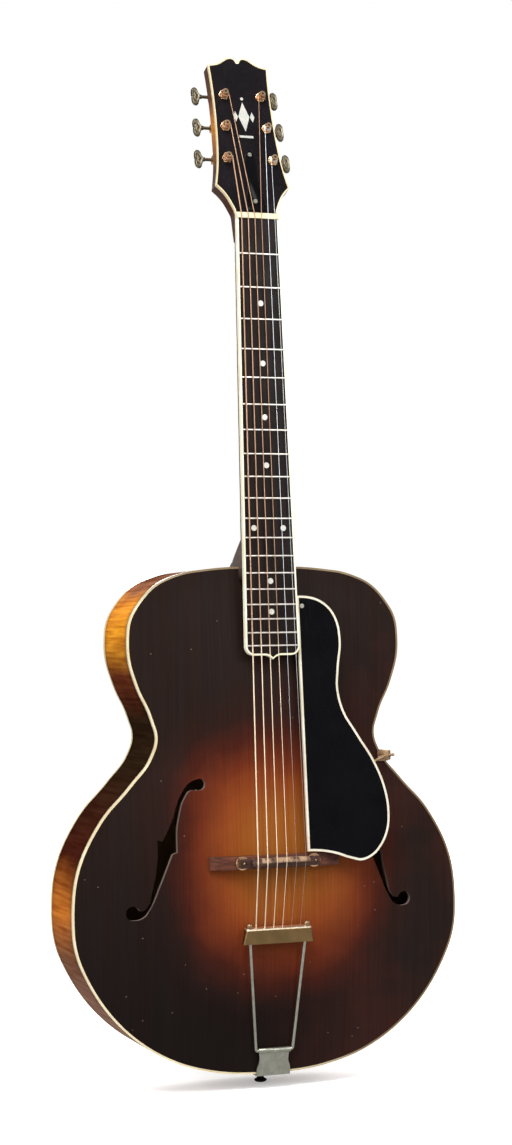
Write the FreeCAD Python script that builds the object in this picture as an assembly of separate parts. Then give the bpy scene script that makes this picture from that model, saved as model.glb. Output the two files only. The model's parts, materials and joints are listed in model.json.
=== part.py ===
import FreeCAD, Part
import math
import os

# Archtop guitar, standing upright: +X to the treble side, the front towards -Y, +Z along the neck.
# The origin is on the end pin's axis, at the tail end of the rim.
# Lengths are in millimetres and angles in degrees. A name that ends in share or shares holds parts
# of the size that it is used with.

# Body
body_length = 505.0
lower_bout_width = 406.0
waist_width = 232.0
upper_bout_width = 288.0
rim_depth = 86.0
pin_setback = 36.0
plate_thickness = 5.0
rim_wall = 2.4
binding_width = 2.0
top_arch = 17.0
back_arch = 16.0
lining_width = 6.0
lining_height = 12.0
block_width = 70.0
neck_block_length = 46.0
tail_block_length = 26.0
tone_bar_width = 7.0
tone_bar_depth = 11.0
tone_bar_length_share = 0.594
tone_bar_spacing = 78.0
tone_bar_tail_share = 0.218

# The outline from the tail to the widest place of the lower bout, then up to the waist, out to the
# upper bout and round to the neck. Flank shares run from the waist's half width to the bout's.
tail_shares = [
    (0.273, 0.0079), (0.488, 0.0330), (0.718, 0.0915), (0.904, 0.183), (0.990, 0.267), (1.0, 0.327),
]
lower_flank_shares = [(0.946, 0.408), (0.662, 0.508), (0.312, 0.575), (0.076, 0.625)]
waist_place_share = 0.663
upper_flank_shares = [(0.186, 0.705), (0.704, 0.7695), (0.971, 0.822)]
neck_end_shares = [
    (1.0, 0.8535), (0.978, 0.8988), (0.911, 0.9315), (0.799, 0.9642), (0.640, 0.9850), (0.40, 0.9965),
]

# Arching: the place of the highest point, and how full the arch is along and across the body
arch_peak_share = 0.455
long_arch_power = 2.6
arch_fullness = 1.5
arch_rows = 40
arch_columns = 16
arch_overhang = 16.0

# f-holes, as shares of their height and spread from the lower inner corner, for the treble side
fhole_height = 138.0
fhole_spread = 82.0
fhole_below_bridge = 54.3
fhole_inset = 69.0
fhole_upper_eye = 5.7
fhole_lower_eye = 7.0
upper_eye_shares = (0.071, 0.957)
lower_eye_shares = (0.908, 0.062)
fhole_inner_shares = [(0.110, 0.912), (0.168, 0.915), (0.263, 0.853), (0.323, 0.748), (0.360, 0.620)]
fhole_inner_nick_shares = [(0.360, 0.480), (0.420, 0.466)]
fhole_inner_low_shares = [(0.491, 0.363), (0.582, 0.235), (0.684, 0.101), (0.787, 0.024), (0.908, 0.012)]
fhole_outer_shares = [
    (0.850, 0.090), (0.795, 0.075), (0.738, 0.101), (0.672, 0.213), (0.633, 0.315), (0.600, 0.460),
]
fhole_outer_nick_shares = [(0.600, 0.575), (0.540, 0.560)]
fhole_outer_high_shares = [
    (0.462, 0.650), (0.400, 0.735), (0.360, 0.813), (0.300, 0.890), (0.190, 0.972), (0.071, 0.998),
]

# Neck and fingerboard
scale_length = 647.7
fret_count = 19
joint_fret = 14
joint_fret_below_edge = 7.0
board_height_at_joint = 18.8
neck_pitch = 3.1
nut_width = 44.45
board_end_width = 57.0
board_tail = 9.6
board_thickness = 6.0
board_point = 4.0
board_point_half_width = 9.0
board_corner_radius = 9.0
board_binding_width = 1.8
neck_depth_at_nut = 16.0
neck_depth_at_heel = 19.0
neck_edge_depth = 1.5
heel_start_fret = 11
heel_inside = 12.0
riser_width = 48.0
riser_end_setback = 3.0
tenon_width = 26.0
tenon_flare = 6.0
tenon_length = 22.0
tenon_depth = 62.0
heel_cap_thickness = 2.0
# Each heel section: depth share from fingerboard to back, width share and reach share of the heel's own
heel_width = 54.0
heel_reach = 62.0
heel_depth_shares = [0.0, 0.16, 0.34, 0.64, 1.0]
heel_width_shares = [1.0, 1.0, 0.94, 0.61, 0.31]
heel_reach_shares = [1.0, 0.80, 0.54, 0.32, 0.20]

# Frets, position dots and nut
fret_width = 2.2
fret_height = 1.0
fret_tang_width = 0.6
fret_tang_depth = 2.2
dot_radius = 2.9
dot_depth = 1.0
single_dot_frets = [3, 5, 7, 9, 15, 17]
double_dot_fret = 12
double_dot_spacing = 31.0
nut_thickness = 5.8
nut_rise = 1.9

# Truss rod
truss_rod_radius = 2.0
truss_rod_depth = 13.7
truss_rod_end_setback = 14.0
truss_anchor_radius = 4.0
truss_anchor_length = 5.0
truss_pocket_start = 22.0
truss_pocket_length = 22.0
truss_pocket_width = 13.0
truss_pocket_floor = 18.2
truss_nut_flats = 6.2
truss_nut_length = 6.5

# Headstock: face behind the fret plane at the nut, and its outline from the nut to the crest
head_angle = 14.0
head_face_drop = 2.5
head_thickness = 15.0
veneer_thickness = 3.5
head_binding_width = 1.3
head_length = 186.0
head_ear_width = 79.0
head_top_width = 64.4
head_waist_width = 62.6
head_root_overlap = 20.0
head_throat_shares = [(0.0, 0.032), (0.20, 0.092), (0.45, 0.139)]
ear_height_share = 0.199
head_side_shares = [(0.42, 0.343), (0.17, 0.467), (0.0, 0.637)]
head_corner_share = 0.947
head_crest_shares = [(0.80, 0.951), (0.62, 0.963), (0.48, 0.979), (0.355, 0.9935), (0.235, 1.0),
                     (0.13, 0.997), (0.05, 0.983)]
head_notch_share = 0.970

# Truss-rod cover, a bell from near the nut up the headstock
cover_thickness = 1.5
cover_start = 9.5
cover_length = 68.0
cover_width = 21.0
cover_shares = [(1.0, 0.0), (0.98, 0.12), (0.70, 0.30), (0.56, 0.55), (0.58, 0.80), (0.34, 0.95)]
cover_screw_low = 18.9
cover_screw_high = 72.0

# Headstock inlay: a plain lozenge, two small ones beside it, a dot and a bar
inlay_depth = 1.0
inlay_middle = 117.0
lozenge_length = 34.0
lozenge_width = 12.0
small_lozenge_length = 12.0
small_lozenge_width = 5.0
small_lozenge_offset = 9.0
inlay_dot_radius = 1.7
inlay_dot_offset = 21.0
inlay_bar_width = 15.0
inlay_bar_height = 2.6
inlay_bar_offset = 23.0

# Tuners
first_post = 66.9
post_spacing = 36.6
low_post_spread = 49.4
high_post_spread = 40.0
posts_per_side = 3
post_radius = 3.0
post_rise = 10.0
post_hole_radius = 0.9
post_hole_drop = 2.2
post_dimple_radius = 1.2
post_dimple_depth = 1.2
bushing_radius = 4.3
bushing_hex = 9.4
bushing_rise = 2.2
tuner_plate_thickness = 1.2
tuner_plate_inner = 9.5
tuner_plate_low_outer = 33.9
tuner_plate_high_outer = 28.9
tuner_plate_end_margin = 11.0
tuner_plate_screw_margin = 2.7
gear_teeth = 12
gear_pitch_radius = 6.6
worm_pitch_radius = 3.1
tooth_addendum = 0.75
gear_thickness = 3.0
gear_tip_width = 0.7
gear_root_width = 1.7
gear_screw_radius = 2.6
gear_screw_height = 1.4
worm_thread_width = 1.0
worm_thread_tip_width = 0.6
worm_turns = 3
mesh_clearance = 0.35
worm_shaft_radius = 1.7
worm_bracket_thickness = 1.6
worm_bracket_half_width = 3.6
worm_end_play = 0.3
shaft_reach = 12.8
button_length = 9.8
button_height = 21.2
button_thickness = 6.0
button_shares = [(0.0, 0.24), (0.12, 0.28), (0.22, 0.56), (0.34, 0.88), (0.52, 1.0), (0.74, 0.96), (0.91, 0.78)]
button_edge_shares = [(0.985, 0.55), (0.99, 0.32), (0.93, 0.0)]

# Screws of the tuner plates, truss-rod cover, tail bracket and pickguard
screw_head_radius = 2.2
screw_head_height = 1.3
screw_radius = 1.1
plate_screw_length = 7.0
cover_screw_length = 4.0
bracket_screw_length = 12.0
guard_screw_length = 9.0
screw_slot_width = 0.6
screw_slot_depth = 0.6

# Strings from the treble side to the bass side
string_diameters = [0.33, 0.43, 0.66, 0.91, 1.17, 1.42]
nut_string_spacing = 7.1
bridge_string_spacing = 10.0
tail_string_spacing = 9.3
string_height_at_nut = 1.8
string_height_at_bridge = 5.0
string_gap = 0.06
string_bend_radius = 8.0
nut_break_share = 0.5
winding_start_height = 7.4
winding_turns = [4, 4, 3, 3, 2, 2]
winding_gap = 0.5
post_gap = 0.3
ball_radius = 2.0
ball_overlap_share = 0.2
ball_gap = 0.3

# Bridge
bridge_shift = 2.1
bridge_base_length = 136.0
bridge_base_depth = 13.0
bridge_base_top = 25.5
bridge_base_end_top = 18.5
bridge_base_flat = 98.0
bridge_foot_gap_length = 44.0
bridge_foot_gap_rise = 3.2
stud_radius = 2.0
stud_spacing = 75.0
stud_top = 35.0
stud_seat = 19.5
stud_clearance = 0.1
wheel_radius = 7.0
wheel_thickness = 2.5
wheel_drop_room = 1.5
wheel_saddle_gap = 0.05
saddle_length = 83.0
saddle_depth = 9.0
saddle_ridge_width = 10.0
saddle_top_depth = 4.5
saddle_shoulder_drop = 3.0
saddle_end_share = 0.86
saddle_compensation = [1.0, -0.8, 0.6, -0.2, -0.9, -1.6]

# Trapeze tailpiece
hinge_height = 7.0
hinge_from_tail = 24.0
crossbar_reach_share = 0.6645
crossbar_height = 24.5
crossbar_top_width = 68.3
crossbar_bottom_width = 74.0
crossbar_face_height = 15.5
crossbar_sheet = 1.5
crossbar_front = 4.5
crossbar_back = 4.0
tail_wire_radius = 1.5
tail_wire_top_spacing = 60.5
tail_wire_bottom_spacing = 38.5
tail_wire_bend_radius = 2.2
tail_wire_rise = 1.5
tail_nut_radius = 3.0
tail_nut_height = 4.0
hinge_clearance = 0.06
barrel_wall = 1.1
barrel_length = 33.4
bracket_sheet = 1.6
bracket_width = 35.0
bracket_waist_width = 30.5
bracket_waist_share = 0.58
bracket_belly_share = 0.20
bracket_tail_height = 1.2
bracket_seat_gap = 0.1
bracket_flap_back = 12.0
bracket_screw_spacing = 20.0
bracket_screw_forward = 20.0

# End pin
pin_radius = 3.0
pin_head_radius = 6.5
pin_head_height = 4.2
pin_reach = 15.2
pin_peg_length = 22.0

# Pickguard, parallel to the strings: its top and length are shares of the scale length
guard_below_frets = 3.0
guard_thickness = 3.0
guard_binding_width = 2.2
guard_width = 91.4
guard_length_share = 0.410
guard_top_share = 0.590
guard_board_gap = 0.5
guard_curve_shares = [
    (0.097, 0.0), (0.253, 0.013), (0.397, 0.051), (0.473, 0.102), (0.498, 0.160),
    (0.461, 0.280), (0.447, 0.345), (0.495, 0.427), (0.655, 0.523), (0.835, 0.622),
    (0.951, 0.717), (0.998, 0.805), (0.967, 0.900), (0.895, 0.947), (0.799, 0.981),
    (0.662, 1.0), (0.512, 0.990), (0.338, 0.970), (0.186, 0.960),
]
guard_foot_shares = (0.028, 0.957)
guard_screw_shares = (0.055, 0.038)

# Pickguard rod, clamp on the rim and its thumb nut
clamp_place_share = 0.6154
clamp_width = 11.0
clamp_sheet = 1.8
clamp_gap = 0.1
clamp_lip = 6.0
clamp_drop = 17.0
clamp_rod_radius = 1.6
clamp_rod_height = 6.0
clamp_rod_inside = 26.0
rod_foot_length = 16.0
rod_foot_width = 9.0
clamp_stud_radius = 1.5
clamp_stud_length = 11.0
clamp_nut_radius = 4.2
clamp_nut_length = 5.5
clamp_nut_lobes = 6
clamp_nut_lobe_radius = 1.5
clamp_nut_gap = 0.2

# Fits and cutting
glue_line = 0.05
fit_gap = 0.1
running_clearance = 0.05
overrun = 10.0
sharp_joint_share = 0.02
straight_share = 0.001
tiny = 1e-9


def vec(x, y, z):
    return FreeCAD.Vector(x, y, z)


X_AXIS = vec(1, 0, 0)
Y_AXIS = vec(0, 1, 0)
Z_AXIS = vec(0, 0, 1)

# Places worked out from the sizes
front_y = -pin_setback
back_y = front_y + rim_depth
lower_half = lower_bout_width / 2
waist_half = waist_width / 2
upper_half = upper_bout_width / 2


def fret_distance(fret):
    """Distance of a fret from the nut."""
    return scale_length * (1 - 2 ** (-fret / 12))


board_length = fret_distance(fret_count) + board_tail
joint_distance = fret_distance(joint_fret)
edge_distance = joint_distance - joint_fret_below_edge
pitch_sine = math.sin(math.radians(neck_pitch))
pitch_cosine = math.cos(math.radians(neck_pitch))
nut_y = front_y - board_height_at_joint + joint_distance * pitch_sine
nut_z = body_length - joint_fret_below_edge + joint_distance * pitch_cosine

# Neck frame: origin at the nut on the fret plane, z towards the headstock, -y to the front.
# Head frame: origin on the headstock's face below the nut, tilted back by the head angle.
# Tail frame: origin on the trapeze hinge, z up the wires to the crossbar.
neck_frame = FreeCAD.Placement(vec(0, nut_y, nut_z), FreeCAD.Rotation(X_AXIS, -neck_pitch))
head_tilt = FreeCAD.Placement(vec(0, head_face_drop, 0), FreeCAD.Rotation(X_AXIS, -head_angle))
head_frame = neck_frame.multiply(head_tilt)
bridge_distance = scale_length - bridge_shift
bridge_point = neck_frame.multVec(vec(0, -string_height_at_bridge, -bridge_distance))
bridge_z = bridge_point.z
ridge_height = front_y - bridge_point.y
fhole_tail = bridge_z - fhole_below_bridge
crossbar_reach = (bridge_z - hinge_from_tail) * crossbar_reach_share
tail_tilt = math.degrees(math.atan2(crossbar_height - hinge_height, crossbar_reach))
tail_frame = FreeCAD.Placement(
    vec(0, front_y - hinge_height, hinge_from_tail), FreeCAD.Rotation(X_AXIS, tail_tilt)
)


def placed(frame, shape):
    """A copy of a shape moved into a frame."""
    copy = shape.copy()
    copy.Placement = frame.multiply(copy.Placement)
    return copy


def joined(first, *others):
    """One solid from several that touch or overlap."""
    return first.fuse(list(others)).removeSplitter()


def box(x_range, y_range, z_range):
    """A box between three pairs of limits."""
    size = [high - low for low, high in (x_range, y_range, z_range)]
    return Part.makeBox(*size, vec(x_range[0], y_range[0], z_range[0]))


def rod(start, end, radius):
    """A cylinder between two points."""
    return Part.makeCylinder(radius, (end - start).Length, start, end - start)


def arc_middle(start, tangent, end):
    """Middle point of the arc that leaves start along tangent and ends at end, or None for a line."""
    chord = end - start
    along = chord * (1 / chord.Length)
    cosine = tangent.dot(along)
    side = tangent - along * cosine
    if side.Length < straight_share:
        return None
    sagitta = chord.Length / 2 * side.Length / (1 + cosine)
    return (start + end) * 0.5 + side * (sagitta / side.Length)


def arc_edge(start, tangent, end, backwards=False):
    """Edge of the arc from start along tangent to end, or of the same arc from end to start."""
    middle = arc_middle(start, tangent, end)
    first, last = (end, start) if backwards else (start, end)
    if middle is None:
        return Part.LineSegment(first, last).toShape()
    return Part.Arc(first, middle, last).toShape()


def biarc_edges(start, start_tangent, end, end_tangent):
    """Two tangent arcs that join two points with their directions."""
    span = end - start
    both = start_tangent + end_tangent
    spread = 2 * (1 - start_tangent.dot(end_tangent))
    if spread > tiny:
        root = math.sqrt(span.dot(both) ** 2 + spread * span.dot(span))
        reach = (root - span.dot(both)) / spread
    else:
        reach = span.dot(span) / (4 * span.dot(end_tangent))
    meeting = (start + end + (start_tangent - end_tangent) * reach) * 0.5
    return [arc_edge(start, start_tangent, meeting), arc_edge(end, end_tangent * -1, meeting, backwards=True)]


def middle_tangent(before, here, after):
    """Direction at the middle one of three points, along the circle through them."""
    arriving = here - before
    leaving = after - here
    tangent = arriving * (1 / arriving.dot(arriving)) + leaving * (1 / leaving.dot(leaving))
    return tangent * (1 / tangent.Length)


def end_tangent(outer, inner, inner_tangent):
    """Direction at an end point, mirrored in its chord from the direction at the next point."""
    chord = inner - outer
    along = chord * (1 / chord.Length)
    return along * (2 * inner_tangent.dot(along)) - inner_tangent


def smooth_edges(points, first_tangent=None, last_tangent=None):
    """Tangent arcs through a row of points."""
    tangents = [middle_tangent(*points[i - 1:i + 2]) for i in range(1, len(points) - 1)]
    if first_tangent is None:
        first_tangent = end_tangent(points[0], points[1], tangents[0])
    if last_tangent is None:
        last_tangent = end_tangent(points[-2], points[-1], tangents[-1])
    tangents = [first_tangent] + tangents + [last_tangent]
    edges = []
    for i in range(len(points) - 1):
        edges += biarc_edges(points[i], tangents[i], points[i + 1], tangents[i + 1])
    return edges


def line_edges(points):
    """Straight edges through a row of points."""
    return [Part.LineSegment(a, b).toShape() for a, b in zip(points, points[1:])]


def mirrored(points):
    """The same points on the other side of the centreline, in the opposite order."""
    return [vec(-p.x, p.y, p.z) for p in reversed(points)]


def polygon(corners):
    """Straight edges round a row of corners."""
    return line_edges(corners + corners[:1])


def prism(edges, y_range):
    """A closed outline in the XZ plane made solid between two depths."""
    face = Part.Face(Part.Wire(edges))
    face.translate(vec(0, y_range[0], 0))
    return face.extrude(vec(0, y_range[1] - y_range[0], 0))


def bar(corners, length):
    """A closed row of corners in a plane across X made solid along X."""
    return Part.Face(Part.Wire(polygon(corners))).extrude(vec(length, 0, 0))


def runs_leftwards(edges):
    """Whether a closed outline in the XZ plane goes round from X towards Z."""
    points = [point for edge in edges for point in edge.discretize(6)[:-1]]
    return sum(a.x * b.z - b.x * a.z for a, b in zip(points, points[1:] + points[:1])) > 0


def is_straight(start, middle, end):
    """Whether an edge given by three of its points is a line."""
    chord = end - start
    return (middle - start).cross(chord).Length < chord.dot(chord) * straight_share / 4


def circle_centre(start, middle, end):
    """Centre of the circle through three points in the XZ plane."""
    p = middle - start
    q = end - start
    twice_area = 2 * (p.x * q.z - q.x * p.z)
    x = (p.dot(p) * q.z - q.dot(q) * p.z) / twice_area
    z = (q.dot(q) * p.x - p.dot(p) * q.x) / twice_area
    return start + vec(x, 0, z)


def distance_from(edge_points, point):
    """Signed distance of a point from an edge's whole line or circle, and the direction it grows in."""
    start, middle, end = edge_points
    if is_straight(start, middle, end):
        along = (end - start) * (1 / (end - start).Length)
        away = vec(-along.z, 0, along.x)
        return (point - start).dot(away), away
    centre = circle_centre(start, middle, end)
    arm = point - centre
    return arm.Length - (start - centre).Length, arm * (1 / arm.Length)


def crossing(before, after):
    """Where two moved edges meet when both are carried on, each given by three of its points."""
    point = (before[2] + after[0]) * 0.5
    for step in range(30):
        first, first_way = distance_from(before, point)
        second, second_way = distance_from(after, point)
        area = first_way.x * second_way.z - second_way.x * first_way.z
        x = (first * second_way.z - second * first_way.z) / area
        z = (second * first_way.x - first * second_way.x) / area
        point = point - vec(x, 0, z)
    return point


def inset(edges, distance):
    """A closed outline of lines and arcs moved inwards, with its corners kept sharp."""
    turn = 1 if runs_leftwards(edges) else -1
    moved = []
    for edge in edges:
        places = []
        for share in (0, 0.5, 1):
            parameter = edge.FirstParameter + (edge.LastParameter - edge.FirstParameter) * share
            tangent = edge.tangentAt(parameter)
            places.append(edge.valueAt(parameter) + vec(-tangent.z, 0, tangent.x) * (turn * distance))
        moved.append(places)
    for before, after in zip(moved, moved[1:] + moved[:1]):
        if (before[2] - after[0]).Length > distance * sharp_joint_share:
            corner = crossing(before, after)
            before[2] = corner
            after[0] = corner
        else:
            after[0] = before[2]
    result = []
    for start, middle, end in moved:
        straight = is_straight(start, middle, end)
        curve = Part.LineSegment(start, end) if straight else Part.Arc(start, middle, end)
        result.append(curve.toShape())
    return result


def frame_of(edges, distance, y_range):
    """The strip between an outline and the same outline moved inwards."""
    room = prism(inset(edges, distance), (y_range[0] - overrun, y_range[1] + overrun))
    return prism(edges, y_range).cut(room)


# Body outline

def outline_points():
    """The treble half of the outline, from the tail to the neck."""
    points = [vec(0, 0, 0)]
    points += [vec(lower_half * x, 0, body_length * z) for x, z in tail_shares]
    lower_flare = lower_half - waist_half
    points += [vec(waist_half + lower_flare * x, 0, body_length * z) for x, z in lower_flank_shares]
    points += [vec(waist_half, 0, body_length * waist_place_share)]
    upper_flare = upper_half - waist_half
    points += [vec(waist_half + upper_flare * x, 0, body_length * z) for x, z in upper_flank_shares]
    points += [vec(upper_half * x, 0, body_length * z) for x, z in neck_end_shares]
    points += [vec(0, 0, body_length)]
    return points


treble_points = outline_points()
treble_edges = smooth_edges(treble_points, X_AXIS, X_AXIS * -1)
bass_edges = smooth_edges(mirrored(treble_points), X_AXIS * -1, X_AXIS)
outline = treble_edges + bass_edges
plate_outline = inset(outline, binding_width)
rim_samples = [(p.z, p.x) for edge in treble_edges for p in edge.discretize(12)]


def half_width(z):
    """Half the body's width at a height, from the outline's own points."""
    for (low, x_low), (high, x_high) in zip(rim_samples, rim_samples[1:]):
        if low <= z <= high and high > low:
            return x_low + (x_high - x_low) * (z - low) / (high - low)
    return 0


def arch_share(x, z):
    """Share of the arch height: none at the edge with a level recurve, all of it at the peak."""
    peak = body_length * arch_peak_share
    reach = peak if z < peak else body_length - peak
    lengthwise = min(abs(z - peak) / reach, 1)
    side = half_width(z)
    across = min(abs(x) / side, 1) if side > 0 else 1
    return ((1 - lengthwise ** long_arch_power) * (1 - across ** 2)) ** arch_fullness


arch_half_width = lower_half + arch_overhang
arch_span = body_length + 2 * arch_overhang
arch_grid = []
for row in range(arch_rows + 1):
    height = arch_span * row / arch_rows - arch_overhang
    places = [arch_half_width * column / arch_columns for column in range(-arch_columns, arch_columns + 1)]
    arch_grid.append([(x, height, arch_share(x, height)) for x in places])


def arch_block(base_y, rise, depth):
    """All that lies on one side of an arched surface, down to a depth along Y."""
    surface = Part.BSplineSurface()
    surface.interpolate([[vec(x, base_y + rise * share, z) for x, z, share in row] for row in arch_grid])
    return surface.toShape().extrude(vec(0, depth, 0))


def fhole_wire(side):
    """Closed outline of one f-hole's stem; side is 1 for treble and -1 for bass."""
    def place(shares):
        return vec(side * (fhole_inset + fhole_spread * shares[0]), 0, fhole_tail + fhole_height * shares[1])

    inner_high = [place(s) for s in fhole_inner_shares]
    inner_nick = [place(s) for s in fhole_inner_nick_shares]
    inner_low = [place(s) for s in fhole_inner_low_shares]
    outer_low = [place(s) for s in fhole_outer_shares]
    outer_nick = [place(s) for s in fhole_outer_nick_shares]
    outer_high = [place(s) for s in fhole_outer_high_shares]
    edges = smooth_edges(inner_high)
    edges += line_edges([inner_high[-1], inner_nick[0], inner_nick[1], inner_low[0]])
    edges += smooth_edges(inner_low)
    edges += line_edges([inner_low[-1], outer_low[0]])
    edges += smooth_edges(outer_low)
    edges += line_edges([outer_low[-1], outer_nick[0], outer_nick[1], outer_high[0]])
    edges += smooth_edges(outer_high)
    edges += line_edges([outer_high[-1], inner_high[0]])
    return edges


def fhole_cutter(side):
    """Stem and eyes of one f-hole, through the whole arch of the top."""
    y_range = (front_y - top_arch - overrun, front_y + plate_thickness + overrun)
    cutter = prism(fhole_wire(side), y_range)
    for shares, radius in ((upper_eye_shares, fhole_upper_eye), (lower_eye_shares, fhole_lower_eye)):
        x = side * (fhole_inset + fhole_spread * shares[0])
        z = fhole_tail + fhole_height * shares[1]
        cutter = cutter.fuse(rod(vec(x, y_range[0], z), vec(x, y_range[1], z), radius))
    return cutter


def dovetail(clearance):
    """The neck's dovetail and the room for it, wider inside the body than at the edge."""
    near = tenon_width / 2 + clearance
    far = near + tenon_flare / 2
    end = body_length - tenon_length - clearance
    corners = [vec(-near, 0, body_length + overrun), vec(near, 0, body_length + overrun)]
    corners += [vec(near, 0, body_length), vec(far, 0, end), vec(-far, 0, end), vec(-near, 0, body_length)]
    return prism(polygon(corners), (front_y - board_thickness, front_y + tenon_depth + clearance))


mortise = dovetail(fit_gap)
top_depths = (front_y - top_arch - overrun, front_y + plate_thickness + overrun)
back_depths = (back_y - plate_thickness - overrun, back_y + back_arch + overrun)
inside_top = arch_block(front_y + plate_thickness, -top_arch, -rim_depth)
outside_top = arch_block(front_y, -top_arch, rim_depth)
top_plate = prism(plate_outline, top_depths).common(outside_top).common(inside_top)
top_plate = top_plate.cut(mortise).cut(fhole_cutter(1)).cut(fhole_cutter(-1))
back_plate = prism(plate_outline, back_depths).common(arch_block(back_y, back_arch, -rim_depth))
back_plate = back_plate.common(arch_block(back_y - plate_thickness, back_arch, rim_depth))
body_envelope = prism(outline, (front_y - top_arch - overrun, back_y + overrun))
envelope_depth = rim_depth + top_arch + 2 * overrun
body_envelope = body_envelope.common(arch_block(front_y - fit_gap, -top_arch, envelope_depth))

top_seat = front_y + plate_thickness + glue_line
back_seat = back_y - plate_thickness - glue_line
top_binding = frame_of(outline, binding_width, (front_y, top_seat - glue_line)).cut(mortise)
back_binding = frame_of(outline, binding_width, (back_seat + glue_line, back_y))
rim = frame_of(outline, rim_wall, (top_seat, back_seat)).cut(mortise)
whole_depth = (front_y - overrun, back_y + overrun)
whole_length = (-overrun, body_length + overrun)
rim_treble = rim.common(box((0, lower_bout_width), whole_depth, whole_length))
rim_bass = rim.common(box((-lower_bout_width, 0), whole_depth, whole_length))

inner_outline = inset(outline, rim_wall + glue_line)
inner_body = prism(inner_outline, (top_seat, back_seat))
block_half = block_width / 2
neck_block = inner_body.common(box((-block_half, block_half), whole_depth,
                                   (body_length - neck_block_length, body_length)))
neck_block = neck_block.cut(mortise)
tail_block = inner_body.common(box((-block_half, block_half), whole_depth, (0, tail_block_length)))
block_room = box((-block_half - glue_line, block_half + glue_line), whole_depth, whole_length)
linings = []
for y_range in ((top_seat, top_seat + lining_height), (back_seat - lining_height, back_seat)):
    linings += frame_of(inner_outline, lining_width, y_range).cut(block_room).Solids


def tone_bar(side):
    """A spruce bar along the inside of the top, fitted to its arch."""
    middle = side * tone_bar_spacing / 2
    low = body_length * tone_bar_tail_share
    blank = box((middle - tone_bar_width / 2, middle + tone_bar_width / 2),
                (front_y - top_arch, front_y + plate_thickness),
                (low, low + body_length * tone_bar_length_share))
    roof = arch_block(front_y + plate_thickness + glue_line, -top_arch, rim_depth)
    floor = arch_block(front_y + plate_thickness + tone_bar_depth, -top_arch, rim_depth)
    return blank.common(roof).cut(floor)


tone_bars = [tone_bar(1), tone_bar(-1)]


# Neck

def board_half_width(distance):
    """Half the fingerboard's width at a distance from the nut."""
    return (nut_width + (board_end_width - nut_width) * distance / board_length) / 2


def board_wire(margin):
    """Outline of the fingerboard, or of its wood inside the binding's margin, with its pointed end."""
    near = board_half_width(0) - margin
    end = -(board_length - margin)
    corner = board_corner_radius - margin
    side_end = board_half_width(board_length - board_corner_radius) - margin
    far = board_half_width(board_length) - margin
    point_half = board_point_half_width
    tip = vec(0, 0, end - board_point)
    treble = [vec(near, 0, 0), vec(side_end, 0, end + corner)]
    slope = treble[1] - treble[0]
    flank = vec(point_half, 0, end)
    edges = line_edges(treble)
    edges += biarc_edges(treble[1], slope * (1 / slope.Length), vec(far - corner, 0, end), X_AXIS * -1)
    edges += line_edges([vec(far - corner, 0, end), flank])
    edges.append(arc_edge(flank, X_AXIS * -1, tip))
    other = vec(-point_half, 0, end)
    edges.append(arc_edge(other, X_AXIS, tip, backwards=True))
    edges += line_edges([other, vec(corner - far, 0, end)])
    edges += biarc_edges(vec(corner - far, 0, end), X_AXIS * -1, vec(-side_end, 0, end + corner),
                         vec(slope.x, 0, -slope.z) * (1 / slope.Length))
    edges += line_edges([vec(-side_end, 0, end + corner), vec(-near, 0, 0), vec(near, 0, 0)])
    return edges


def shaft_section(z, half, depth):
    """Flat-fronted round section of the neck's shaft."""
    front = board_thickness
    edge = front + neck_edge_depth
    angles = [math.pi * step / 8 for step in range(9)]
    arc_points = [vec(half * math.cos(a), edge + (depth - neck_edge_depth) * math.sin(a), z) for a in angles]
    curve = Part.BSplineCurve()
    curve.interpolate(arc_points)
    edges = [curve.toShape()]
    edges += line_edges([vec(-half, edge, z), vec(-half, front, z), vec(half, front, z), vec(half, edge, z)])
    return Part.Wire(edges)


def heel_section(depth_share, width_share, reach_share):
    """One level of the heel: straight sides at the body and a half ellipse towards the headstock."""
    depth = board_thickness + (board_height_at_joint + rim_depth) * depth_share
    half = heel_width * width_share / 2
    joint = -edge_distance
    angles = [math.pi * step / 8 for step in range(9)]
    reach = heel_reach * reach_share
    curve = Part.BSplineCurve()
    curve.interpolate([vec(half * math.cos(a), depth, joint + reach * math.sin(a)) for a in angles])
    edges = [curve.toShape()]
    inside = joint - heel_inside
    edges += line_edges([vec(-half, depth, joint), vec(-half, depth, inside), vec(half, depth, inside),
                         vec(half, depth, joint)])
    return Part.Wire(edges)


def head_half_outline():
    """Points of the headstock's treble half: throat, ear, side and crest."""
    throat = nut_width / 2
    ear = head_ear_width / 2
    waist = head_waist_width / 2
    top = head_top_width / 2
    ear_z = head_length * ear_height_share
    throat_points = [vec(throat + (ear - throat) * x, 0, head_length * z) for x, z in head_throat_shares]
    throat_points.append(vec(ear, 0, ear_z))
    side_points = [vec(ear, 0, ear_z)]
    side_points += [vec(waist + (ear - waist) * x, 0, head_length * z) for x, z in head_side_shares]
    side_points.append(vec(top, 0, head_length * head_corner_share))
    crest_points = [side_points[-1]]
    crest_points += [vec(top * x, 0, head_length * z) for x, z in head_crest_shares]
    crest_points.append(vec(0, 0, head_length * head_notch_share))
    return throat_points, side_points, crest_points


def head_wire(root):
    """Closed outline of the headstock down to a root below its throat."""
    throat, side, crest = head_half_outline()
    foot = vec(throat[0].x, 0, root)
    edges = line_edges([foot, throat[0]])
    edges += smooth_edges(throat, Z_AXIS)
    edges += smooth_edges(side)
    edges += smooth_edges(crest, None, X_AXIS * -1)
    edges += smooth_edges(mirrored(crest), X_AXIS * -1)
    edges += smooth_edges(mirrored(side))
    edges += smooth_edges(mirrored(throat), None, Z_AXIS * -1)
    edges += line_edges([vec(-throat[0].x, 0, throat[0].z), vec(-foot.x, 0, root), foot])
    return edges


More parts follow.
